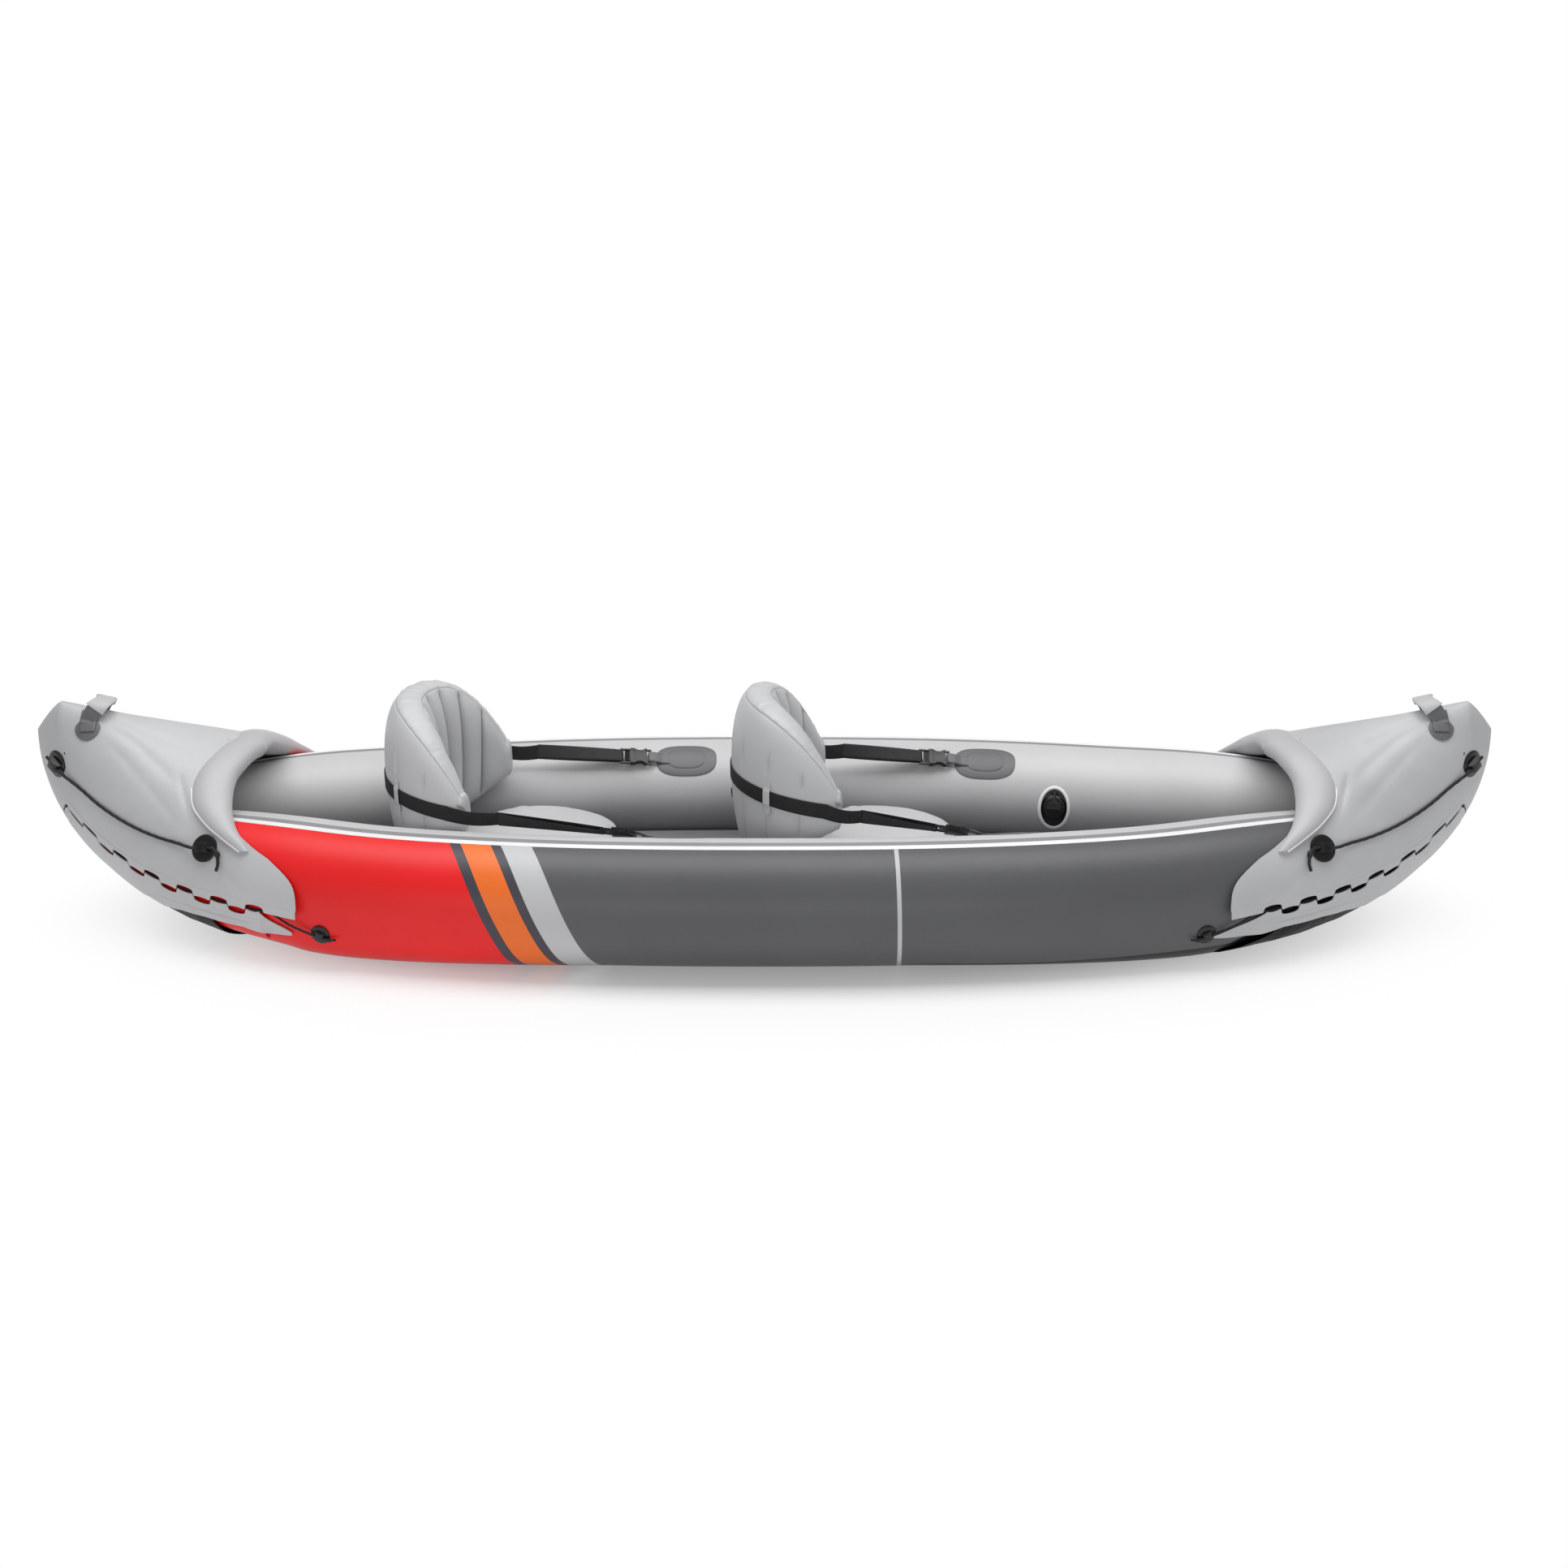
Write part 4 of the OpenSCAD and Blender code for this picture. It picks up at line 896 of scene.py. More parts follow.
def knotted(path, fromEnd, radius, reach):  # radii along a cord with a knot near its end
    knotAt = pathLength(path) - fromEnd
    gone, radii = 0.0, []
    for k, point in enumerate(path):
        gone += (point - path[k - 1]).length if k else 0
        near = max(0, 1 - abs(gone - knotAt)/reach)
        radii.append(radius*(1 + knots["swell"]*math.sin(near*math.pi/2)))
    return radii


def grabLine(name, side, end, node):
    path = smoothPath(grabPath(side), 10)
    path = evenPath([atEnd(p, end) for p in path], 260)
    radii = knotted(path, knots["grabAt"], laces["ropeThick"]/2, knots["grabReach"])
    rope = ropeTube(name, path, radii)
    dress(rope, ropeFinish, "rope", "hull", node)
    pathLength(path)


def lacePath(side):
    x0, turn = eyes["anchorX"], eyes["anchorAngle"]
    ahead = tubePt(x0 - 0.02, side, turn - 2) - tubePt(x0, side, turn)
    b = frameAt(tubePt(x0, side, turn, 0.0003), ahead, tubeOut(x0, side, turn))
    s = laces["cordThick"]/laces["ropeThick"]
    high = loopHigh*s

    def run(x):
        return formPt(x, edgeAngle(x), -laces["cordThick"]/2 - 0.0018, side)

    points = [run(mix(laces["end"] - 0.008, laces["start"] - 0.014, k/16)) for k in range(17)]
    knee = points[-1].lerp(b @ Vector((-0.02*s - 0.014, 0, high)), 0.55)
    points.append(knee + Vector((0, side*0.005, 0)))
    for x, y in ((-0.02*s - 0.004, 0), (0, 0), (0.022*s, 0), (0.027*s, 0), (0.033*s, 0),
                 (0.05*s, side*0.008)):
        points.append(b @ Vector((x, y, high)))
    return points


def lacingCord(name, side, end, nodes):
    path = smoothPath(lacePath(side), 8)
    path = evenPath([atEnd(p, end) for p in path], 300)
    radii = knotted(path, knots["laceAt"], laces["cordThick"]/2, knots["laceReach"])
    cord = ropeTube(name, path, radii, lay=0.016, around=12)
    dress(cord, ropeFinish, "rope", "hull", *nodes)
    pathLength(path)


for endName, end in bothEnds:
    for sideName, side in bothSides:
        label = endName + sideName.title()
        grabLine(label + "GrabLine", side, end, "grab_line_%s_%s" % (endName, sideName))
        lacingCord(label + "Lacing", side, end, [endName + "_lacing"] if side > 0 else [])
for node, label in (("nose_eyelets", "noseEyelets"), ("side_eyelets", "sideEyelets"),
                    ("lacing_eyelets", "lacingEyelets")):
    nodeCopy(node, label, 0.0009, blackPlastic, "fitting", "hull")
print("ropes and eyelets ready")

# spray covers, laced along castellated hems to the keel wraps
cover = {"half": 46, "frontRows": 12, "noseRows": 14, "hem": 0.012, "hemLift": 0.0012, "hemCols": 3,
         "sag": 0.0022, "creaseWide": 3.2, "creaseStray": 2.4, "flat": (0.86, 0.74), "smooth": 35}
edgeTable = [(-10, 0.605), (5, 0.601), (16, 0.609), (25, 0.641), (28, 0.660), (34, 0.688),
             (39, 0.702), (44, 0.710), (50, 0.714), (60, 0.716), (72, 0.712), (90, 0.703)]
mainRows = laceRows()
# each crease: where it starts and ends, as shares of the length and angles, and its depth
creases = [(0.90, 70, 0.765, 47, 0.0026), (0.90, 58, 0.76, 30, 0.0018), (0.905, 80, 0.77, 68, 0.002),
           (0.735, 21, 0.64, 1, 0.0035), (0.80, 24, 0.70, 10, 0.0022), (0.785, 56, 0.755, 34, 0.003)]


def coverSheet(name):
    tip = halfLength - 0.0026
    front = laces["start"] - 0.002
    after = laces["end"] + 0.002
    main = mainRows + [mix(after, tip, sinD(90*k/cover["noseRows"]))
                       for k in range(1, cover["noseRows"] + 1)]
    rows = cover["frontRows"] + len(main) - 1
    half, hemCols = cover["half"], cover["hemCols"]

    def place(row, col):
        side = -1 if col < half else 1
        j = min(col, 2*half - col)  # counted from the hem to the ridge
        share = max(0, (j - hemCols)/(half - hemCols))
        nominal = -4 + j if j < hemCols else mix(0, 90, share)
        first = halfLength*curveAt(edgeTable, nominal)
        base = max(first, front)
        if row < cover["frontRows"]:
            x = mix(first, base, row/cover["frontRows"])
        else:
            x = base + (tip - base)*(main[row - cover["frontRows"]] - front)/(tip - front)
        edge = laceDrop(x) - laces["tabHigh"]/2*laceStep(x) - laceGap(x)/2
        hem = laceDrop(x) - laces["tabHigh"]/2 - cover["hem"] if x < laces["end"] else edge
        drops = [edge, mix(edge, hem, 0.5), hem + 0.0012]
        lift = cover["hemLift"]*(1 - ease(x, laces["end"] - 0.02, laces["end"] + 0.02))
        a = dropAngle(x, drops[j]) if j < hemCols else mix(dropAngle(x, hem), 90, share)
        spot = formPt(x, a, lift if j < hemCols else 0, side)
        sag = cover["sag"]*noise.noise(Vector((x*7, side*2.1 + a*0.03, 3.7)))*ease(a, 0, 25)
        for x1, a1, x2, a2, deep in creases:
            t = (x/halfLength - x1)/(x2 - x1)
            stray = a - mix(a1, a2, t)
            stray += cover["creaseStray"]*noise.noise(Vector((x*9, a1*0.3, 0.4)))
            fade = ease(t, -0.05, 0.3)*(1 - ease(t, 0.6, 1.05))
            sag -= deep*math.exp(-(stray/cover["creaseWide"])**2)*fade
        spot += formOut(x, a, side)*sag if a < 85 and x < tip - 0.03 else Vector()
        if row == rows or a < -88:
            spot.y = 0
        return spot

    return openSkin(name, rows, 2*half, place, (1.2, 0, 0.15), cover["smooth"], clothThick)


bowCover, coverArea = coverSheet("bowCover")
sternCover = otherEnd(bowCover, "sternCover")
for piece, endName in ((bowCover, "bow"), (sternCover, "stern")):
    dress(piece, coverFinish, "cover", "hull", endName + "_cover")
print("spray covers ready:", round(coverArea, 3), "square metres")

# keel wraps, one sheet on each side of the keel
wrap = {"tips": {1: halfLength*0.562, -1: halfLength*0.590}, "tipHigh": 0.078, "cols": 30,
        "hem": 0.010, "hemCols": 3, "rib": 0.002, "ribCol": 15, "lie": 0.0022, "flat": (0.24, 0.62)}
wrapLow = [(halfLength*0.64, -13), (halfLength*0.68, -11.5), (halfLength*0.737, -17),
           (halfLength*0.775, -23), (halfLength*0.805, -34), (halfLength*0.83, -54),
           (halfLength*0.85, -89.9), (halfLength, -89.9)]


def tubeAngle(x, z):  # where the outer lower side of the tube has this height
    low, high = 190, 270
    for k in range(24):
        half = (low + high)/2
        low, high = (half, high) if tubePt(x, 1, half).z < z else (low, half)
    return low


def keelWrap(name, side, end):
    tip = wrap["tips"][end]
    tail = [mix(tip, laces["start"] - 0.004, k/16) for k in range(16)]
    last = mix(laces["end"], laces["stem"], 0.97)
    rowsX = tail + mainRows + [mix(mainRows[-1], last, k/12) for k in range(1, 13)]

    def place(row, col):
        x = rowsX[row]
        low = lineAt(wrapLow, x)
        drop = laceDrop(x) + laces["noseGap"]*0.15
        hem = laceDrop(x) + laces["tabHigh"]/2 + wrap["hem"]
        if x > laces["start"] - 0.003:
            drop = laceDrop(x) - laces["tabHigh"]/2*laceStep(x) + laceGap(x)/2
            drop += 0.006*ease(x, laces["end"], laces["end"] + 0.006)
        top = dropAngle(x, drop)
        hemAngle = max(low + 0.5, min(dropAngle(x, drop + 0.002), dropAngle(x, hem)))
        angles = [top, mix(top, hemAngle, 0.5), mix(top, hemAngle, 0.92)]
        share = (col - wrap["hemCols"])/(wrap["cols"] - wrap["hemCols"])
        a = angles[col] if share < 0 else mix(hemAngle, low, share)
        rib = wrap["rib"]*math.exp(-((col - wrap["ribCol"])/1.3)**2)
        rib *= ease(x, laces["start"], laces["start"] + 0.06)
        spot = formPt(x, a, 0.001 if share < 0 else rib, side)
        grown = limit((x - tip)/(laces["start"] - tip), 0, 1)  # the tail runs to a point on the tube
        high = mix(wrap["tipHigh"] - 0.0002*col, spot.z, grown**0.8)
        close = 1 - ease(x, mix(tip, laces["start"], 0.4), laces["start"] + 0.03)
        lying = tubePt(x, side, tubeAngle(x, high), wrap["lie"])
        return atEnd(Vector((spot.x, spot.y, high)).lerp(lying, close), end)

    return openSkin(name, len(rowsX) - 1, wrap["cols"], place, (1.2*end, 0, 0.2), cover["smooth"],
                    clothThick)


for endName, end in bothEnds:
    for sideName, side in bothSides:
        sheet, wrapArea = keelWrap(endName + "KeelWrap" + sideName.title(), side, end)
        dress(sheet, coverFinish, "cover", "hull", *([endName + "_keel_wrap"] if side > 0 else []))
print("keel wraps ready:", round(wrapArea, 3), "square metres each")

# the hull's own skin behind the lacing, and the dark bottom under the noses
ends = {"rows": 70, "cols": 26, "skinCols": 12, "behind": -0.0085, "above": 0.045, "below": 0.085,
        "ripple": 0.0016, "bottomFrom": halfLength*0.56, "bottomTo": halfLength*0.85, "thick": 0.0012}
bottomNose = [(halfLength*0.735, -13), (halfLength*0.775, -19), (halfLength*0.805, -30),
              (halfLength*0.83, -50), (halfLength*0.852, -84)]
bottomTop = {1: [(halfLength*0.56, -62), (halfLength*0.60, -40), (halfLength*0.66, -20),
                 (halfLength*0.70, -10)] + bottomNose,
             -1: [(halfLength*0.56, -86), (halfLength*0.68, -80), (halfLength*0.71, -48)] + bottomNose}


def tubeEnd(name, side, end):
    def place(row, col):
        x = mix(laces["start"] + 0.006, laces["end"] - 0.004, row/ends["rows"])
        drop = laceDrop(x) + mix(-ends["above"], ends["below"], col/ends["skinCols"])
        spot = formPt(x, dropAngle(x, drop), ends["behind"], side)
        return Vector((spot.x*end, max(0.001, spot.y*side)*side, spot.z))

    skin = openSkin(name, ends["rows"], ends["skinCols"], place, (1.1*end, 0, 0.15))[0]
    for corner in skin.data.uv_layers.active.data:  # the printed side of the hull's map, then its low edge
        across, along = corner.uv
        corner.uv = (along, 0.66 + 0.06*across if across < 0.52 else 0.58)
    return skin


def bottomEnd(name, end):
    def place(row, col):
        x = mix(ends["bottomFrom"], ends["bottomTo"], row/ends["rows"])
        t = col/ends["cols"] - 1
        top = lineAt(bottomTop[end], x) + 3
        side = -1 if t < 0 else 1
        a = mix(-89.9, top, abs(t)**0.8)
        spot = formPt(x, a, -0.0003, side)
        wave = noise.noise(Vector((x*26, a*0.09, 5.0 + side)))
        spot += formOut(x, max(a, -86), side)*ends["ripple"]*wave*(abs(t) > 0.02)
        return Vector((spot.x*end, spot.y if abs(t) > 0.001 else 0, max(0.0007, spot.z)))

    return openSkin(name, ends["rows"], 2*ends["cols"], place, (1.05*end, 0, 0.4),
                    thick=ends["thick"], offset=-1)[0]


for endName, end in bothEnds:
    pair = joinUp(tubeEnd(endName + "TubeEnds", 1, end), tubeEnd("tubeEndNear", -1, end))
    dress(pair, hullFinish, "hull_colour", "hull")
    dress(bottomEnd(endName + "BottomEnd", end), panelFinish, "panel", "hull")
print("hull ends ready")

# inflated cockpit rims with a bright seam bead on the nose side
rim = {"rows": 60, "around": 40, "halfWide": 0.044, "halfHigh": 0.027, "low": 27, "bead": 0.0021,
       "round": 0.92, "beadSteps": 220}
# by the angle up the arch: the middle of the rim on each side, its size, and how far it stands up
rimMid = {-1: [(26, 0.670), (31, 0.691), (36, 0.711), (44, 0.729), (58, 0.737), (72, 0.729),
               (90, 0.716)],
          1: [(26, 0.670), (31, 0.688), (36, 0.702), (44, 0.714), (58, 0.721), (72, 0.720),
              (90, 0.716)]}
rimSize = [(26, 0.16), (31, 0.44), (36, 0.66), (44, 0.90), (58, 0.99), (90, 0.95)]
rimLift = [(27, 0.5), (36, 0.12), (44, -0.16), (52, -0.38), (64, -0.52), (90, -0.6)]


def rimFrame(a, side):
    x, size = halfLength*curveAt(rimMid[side], a), curveAt(rimSize, a)
    high, wide = rim["halfHigh"]*size, rim["halfWide"]*size
    lift = curveAt(rimLift, a)*(high + clothThick + 0.0006)
    t = formPt(x, min(90, a + 1), 0, side) - formPt(x, a - 1, 0, side)
    out = Vector((0, 0, 1)) if a > 89 else Vector((0, side*t.z, -side*t.y)).normalized()
    return formPt(x, a, 0, side) + out*lift, out, wide, high


def rimPt(a, side, turn, off=0.0):
    spot, out, wide, high = rimFrame(a, side)
    return (spot + out*(high + off)*power(sinD(turn), rim["round"])
            + Vector((1, 0, 0))*(wide + off)*power(cosD(turn), rim["round"]))


def rimRun():
    half = [mix(rim["low"], 90, (k/rim["rows"])**0.9) for k in range(rim["rows"] + 1)]
    return [(a, -1) for a in half] + [(a, 1) for a in reversed(half[:-1])]


def cockpitRim(name):
    rings = [[rimPt(a, side, 360*k/rim["around"]) for k in range(rim["around"])]
             for a, side in rimRun()]
    return loft(name, rings)


def beadTurn(a):  # where the side of the rim meets the cover
    sunk = limit(-curveAt(rimLift, a), 0, 0.9)
    return max(14, math.degrees(math.asin(sunk)))


def rimBead(name):
    path = [rimPt(a, side, beadTurn(a), 0.0006) for a, side in rimRun()]
    path = evenPath(path, rim["beadSteps"])
    frames = runFrames(path, (1, 0, 0.2))
    rings = [[p + rim["bead"]*(s*cosD(36*k) + u*sinD(36*k)) for k in range(10)]
             for p, (d, s, u) in zip(path, frames)]
    return loft(name, rings)


bowRim, bowBead = cockpitRim("bowRim"), rimBead("bowRimSeam")
sternRim, sternBead = otherEnd(bowRim, "sternRim"), otherEnd(bowBead, "sternRimSeam")
for tube, bead, endName in ((bowRim, bowBead, "bow"), (sternRim, sternBead, "stern")):
    dress(tube, rimVinyl, "rim", "hull", endName + "_rim")
    dress(bead, seamVinyl, "rim", "hull")
nodeCopy("rim_valves", "rimPlugValves", 0.0006, darkRubber, "patch", "hull")
print("rims ready")

# crown seams, floor and bottom
seams = {"from": 346.4, "to": 352.6, "rows": 150, "lie": 0.0003, "thick": 0.0017}


def crownSeam(name, side):
    rings = []
    for k in range(seams["rows"] + 1):
        x = alongHull(k, seams["rows"], tubeTip*0.985)
        ring = [tubePt(x, side, mix(seams["from"], seams["to"], s/6),
                       seams["lie"] + seams["thick"]*(1 - abs(s/3 - 1)**4)) for s in range(7)]
        ring += [tubePt(x, side, mix(seams["to"], seams["from"], s/2), 0.0002) for s in range(3)]
        rings.append(ring)
    return loft(name, rings, 40)


dress(joinUp(crownSeam("crownSeams", 1), crownSeam("crownSeamNear", -1)), seamVinyl, "seam", "hull",
      "gunwale_seams")
floorCells = {"count": 5, "thick": 0.092, "swell": 0.011, "end": halfLength*0.775, "rows": 60,
              "webGap": 0.0009}


def floorHalf(x):
    return max(0.012, tubeY(x) - 0.985*tubeR(x)/tubeAxis(x, 1).x - 0.002)


def floorCell(name, start, stop):
    rings = []
    for k in range(floorCells["rows"] + 1):
        x = alongHull(k, floorCells["rows"], floorCells["end"])
        wide = floorHalf(x)
        share = max(0, 1 - (abs(x)/(floorCells["end"] + 0.012))**10)
        high = floorCells["thick"]*math.sqrt(share)
        low = hull["ground"] + (floorCells["thick"] - high)*0.25
        y0 = start*wide + (floorCells["webGap"] if start > -1 else 0)
        y1 = stop*wide - (floorCells["webGap"] if stop < 1 else 0)
        swell = min(floorCells["swell"], high*0.3)
        steps = [s/10 for s in range(11)]
        ring = [Vector((x, mix(y0, y1, t), low + swell*((2*t - 1)**2 - 1/9))) for t in steps]
        ring += [Vector((x, mix(y1, y0, t), low + high - swell*((2*t - 1)**2 - 1/9))) for t in steps]
        for p in ring:
            p.z = max(p.z, hull["ground"] + 0.0002)
        rings.append(ring)
    return loft(name, rings, 50)


cellWide = 2/floorCells["count"]
cells = []
for k in range(floorCells["count"]):
    name = "floorCells" if k == 0 else "floorCell%d" % k
    cells.append(floorCell(name, -1 + cellWide*k, -1 + cellWide + cellWide*k))
dress(joinUp(*cells), floorVinyl, "hull_light", "hull", "floor_cells")
for node, finish in (("floor_webs", floorVinyl), ("bottom_panel", panelFinish),
                     ("valve_inserts", blackPlastic), ("valve_flaps", darkRubber)):
    cadNodes[node].data.materials.clear()
    cadNodes[node].data.materials.append(finish)
print("floor ready")

# carry handles over the ridges
handle = {"x": halfLength*0.919, "wide": 0.038, "lie": clothThick + 0.0009, "patchThick": 0.0016,
          "low": 52, "high": 80, "rise": 0.024, "lean": 0.026, "gripHalf": 0.032, "rows": 48,
          "webbing": 0.002, "strapAngles": [58 + 3.5*k for k in range(4)]}


def handlePatch(name, side):
    path, wides, widths = [], [], []
    for k in range(handle["rows"] + 1):
        t = k/handle["rows"]
        a = mix(handle["low"], handle["high"], t)
        path.append(formPt(handle["x"], a, handle["lie"] + handle["patchThick"]/2, side))
        wides.append(formPt(handle["x"] + 0.01, a, 0, side) - formPt(handle["x"] - 0.01, a, 0, side))
        full = handle["wide"]*0.72
        half = full*math.sqrt(max(0.004, 1 - (1 - t/0.32)**2)) if t < 0.32 else mix(
            full, handle["wide"]/2, ease(t, 0.36, 0.58))
        widths.append(2*half)
    return ribbonStrap(name, path, wides, widths, handle["patchThick"])


def handleRun():
    lie = handle["lie"] + handle["patchThick"] + 0.0012 + handle["webbing"]/2
    gripX = handle["x"] - handle["lean"]
    top = ridgeZ(gripX) + clothThick + handle["rise"]
    near = [formPt(handle["x"], a, lie, -1) for a in handle["strapAngles"]]
    arch = [Vector((gripX + 0.012, -handle["gripHalf"] - 0.002, top - 0.011)),
            Vector((gripX + 0.004, -handle["gripHalf"] + 0.008, top - 0.0025)),
            Vector((gripX, -handle["gripHalf"]*0.35, top))]
    wide = []
    for a in handle["strapAngles"]:
        run = formPt(handle["x"] + 0.008, a, 0, -1) - formPt(handle["x"] - 0.008, a, 0, -1)
        wide.append(run.normalized())
    ridge = Vector((1, 0, hull["ridgeSlope"])).normalized()
    flip = [otherSide(p) for p in reversed(near + arch)]
    flipWide = [otherSide(w) for w in reversed(wide)]
    return near + arch + flip, wide + [ridge]*2*len(arch) + flipWide


runPoints, runWides = handleRun()
strapPath, strapWides = smoothPath(runPoints, 6), smoothPath(runWides, 6)
sleeve = slice(24, 55)  # the steps of the strap that the grip covers
handleParts = {
    "patchPort": handlePatch("handlePatches", 1), "patchStarboard": handlePatch("patchNear", -1),
    "strap": ribbonStrap("bowHandleStrap", strapPath, strapWides, handle["wide"] - 0.004,
                         handle["webbing"]),
    "grip": ribbonStrap("bowHandleGrip", strapPath[sleeve], strapWides[sleeve],
                        handle["wide"] + 0.004, 0.0075, 0.42)}
bothPatches = joinUp(handleParts["patchPort"], handleParts["patchStarboard"])
joinUp(bothPatches, otherEnd(bothPatches, "patchesStern"))
dress(bothPatches, patchVinyl, "patch", "hull", "handle_patches")
for key, finish, slotName in (("strap", patchVinyl, "patch"), ("grip", gripSleeve, "grip")):
    mirrored = otherEnd(handleParts[key], "sternHandle" + key.title())
    dress(handleParts[key], finish, slotName, "hull", "bow_handle_" + key)
    dress(mirrored, finish, slotName, "hull", "stern_handle_" + key)
print("handles ready")

# strap patches, tabs, buckles
patch = {"angle": 35, "long": 0.140, "arc": 38, "lie": 0.0009, "thick": 0.0016, "round": 2.8,
         "cols": 80, "tabWide": 0.026, "tabThick": 0.002, "barRadius": 0.0025, "gap": 0.0003}
seats = {"rear": {"x": -0.680, "turn": -7, "patchX": -0.185, "spot": (-0.265461, 0.239833, 0.246481)},
         "front": {"x": 0.060, "turn": 5, "patchX": 0.510, "spot": (0.419118, 0.229645, 0.246481)}}
slides = {joint["name"]: joint["axis"] for joint in frame["record"]["behaviour"]["joints"]}
for seatName, seat in seats.items():  # each backrest sits a little turned in its straps
    seat["spin"] = Matrix.Translation((seat["x"], 0, 0)) @ Matrix.Rotation(
        math.radians(seat["turn"]), 4, "Z")
    seat["along"] = {side: slides["%s_plug_%s_release" % (seatName, sideName)]
                     for sideName, side in bothSides}
# from the middle of a patch to its edge: share of its size, and height in millimetres
patchSteps = [(0, 2.6), (0.30, 2.6), (0.55, 2.55), (0.60, 2.3), (0.625, 1.5), (0.65, 1.3),
              (0.68, 1.5), (0.72, 1.65), (0.85, 1.6), (0.95, 1.55), (0.985, 1.3), (1.0, 0.5)]


def strapPatch(name, x0, side):
    def place(row, col):
        r, high = patchSteps[row]
        a = 360*(col % patch["cols"])/patch["cols"]
        x = x0 + r*power(cosD(a), 2/patch["round"])*patch["long"]/2
        turn = patch["angle"] + r*power(sinD(a), 2/patch["round"])*patch["arc"]/2 - 4*(1 - r)*r
        return tubePt(x, side, turn, patch["lie"] + high*0.001 - 0.0005)

    return openSkin(name, len(patchSteps) - 1, patch["cols"], place, tubeMid(x0, side), 50)[0]


def buckleFrame(seat, side):
    spot = Vector(seat["spot"])
    spot.y *= side
    out = tubeOut(seat["patchX"] - patch["long"]/2, side, patch["angle"])
    return frameAt(spot, seat["along"][side], out)


def barLoop(m, x, turn):  # webbing round a buckle's bar
    r = patch["barRadius"] + patch["tabThick"]/2 + patch["gap"]
    return [m @ Vector((x + turn*r*cosD(a), 0, r*sinD(a))) for a in range(90, -91, -30)]


def patchTab(name, seat, side):
    m = buckleFrame(seat, side)
    lie = patch["lie"] + 0.0008 + patch["thick"] + patch["tabThick"]/2
    points = [tubePt(seat["patchX"] + t*patch["long"]/2, side, patch["angle"], lie + z)
              for t, z in ((-0.56, -0.0022), (-0.66, -0.0008), (-0.8, 0.0004))]
    loop = barLoop(m, 0, 1)
    out = m.to_3x3() @ Vector((0, 0, 1))
    points += [points[-1].lerp(loop[0], 0.55) + out*0.0015] + loop
    path = smoothPath(points, 5)
    across = m.to_3x3() @ Vector((0, 1, 0))
    return ribbonStrap(name, path, [across]*len(path), patch["tabWide"], patch["tabThick"])


patchPieces, tabPieces = [], []
for seatName, seat in seats.items():
    for sideName, side in bothSides:
        label = seatName.title() + sideName.title()
        patchPieces.append(strapPatch("strapPatch" + label, seat["patchX"], side))
        tabPieces.append(patchTab("patchTab" + label, seat, side))
dress(joinUp(*patchPieces), patchVinyl, "patch", "hull", "strap_patches")
dress(joinUp(*tabPieces), patchVinyl, "patch", "hull", "patch_tabs")
nodeCopy("buckle_sockets", "buckleSockets", 0.0008, blackPlastic, "fitting", "hull")
for seatName in seats:
    for sideName, side in bothSides:
        node = "%s_plug_%s" % (seatName, sideName)
        nodeCopy(node, seatName + "Plug" + sideName.title(), 0.0007, blackPlastic, "fitting",
                 node + "_body")
print("patches and buckles ready")

# backrests: bent in a U, welded channels inside, flutes outside, a band round the edge
back = {"span": 80, "wrap": 0.150, "halfWide": 0.176, "thick": 0.060, "top": 0.481, "low": 0.1178,
        "channels": 8, "rowsEach": 16, "depth": 0.42, "flute": 0.15, "fan": 0.10, "dent": 0.007,
        "midX": -0.072, "round": 2.6, "lowRise": 0.114, "topDrop": 0.345, "thinned": 0.62,
        "tipLong": 0.010, "tipRows": 7, "weld": 0.003}
backWelds = (67.8, 112.2, 247.8, 292.2)  # seams either side of the band, in degrees
backAngles = sorted([4.5*k for k in range(80)] + [
    s + d for s in backWelds for d in (-2.2, -1.1, -0.45, 0.02, 0.45, 1.1, 2.2)])


def backMid(u):
    turn = back["span"]*u
    return Vector((back["midX"] + back["wrap"]*(1 - cosD(turn))/(1 - cosD(back["span"])),
                   back["halfWide"]*sinD(turn)/sinD(back["span"]), 0))


def backOut(u):
    return Vector((-cosD(back["span"]*u), sinD(back["span"]*u), 0))


def backLow(u):
    return back["low"] + back["lowRise"]*abs(u)**1.45


def backHigh(u):
    return back["top"]*(1 - back["topDrop"]*abs(u)**3.1)


def backTall(u):  # the middle and half of the height
    return (backLow(u) + backHigh(u))/2, (backHigh(u) - backLow(u))/2


def backThick(u):
    return back["thick"]*(1 - back["thinned"]*abs(u)**3)


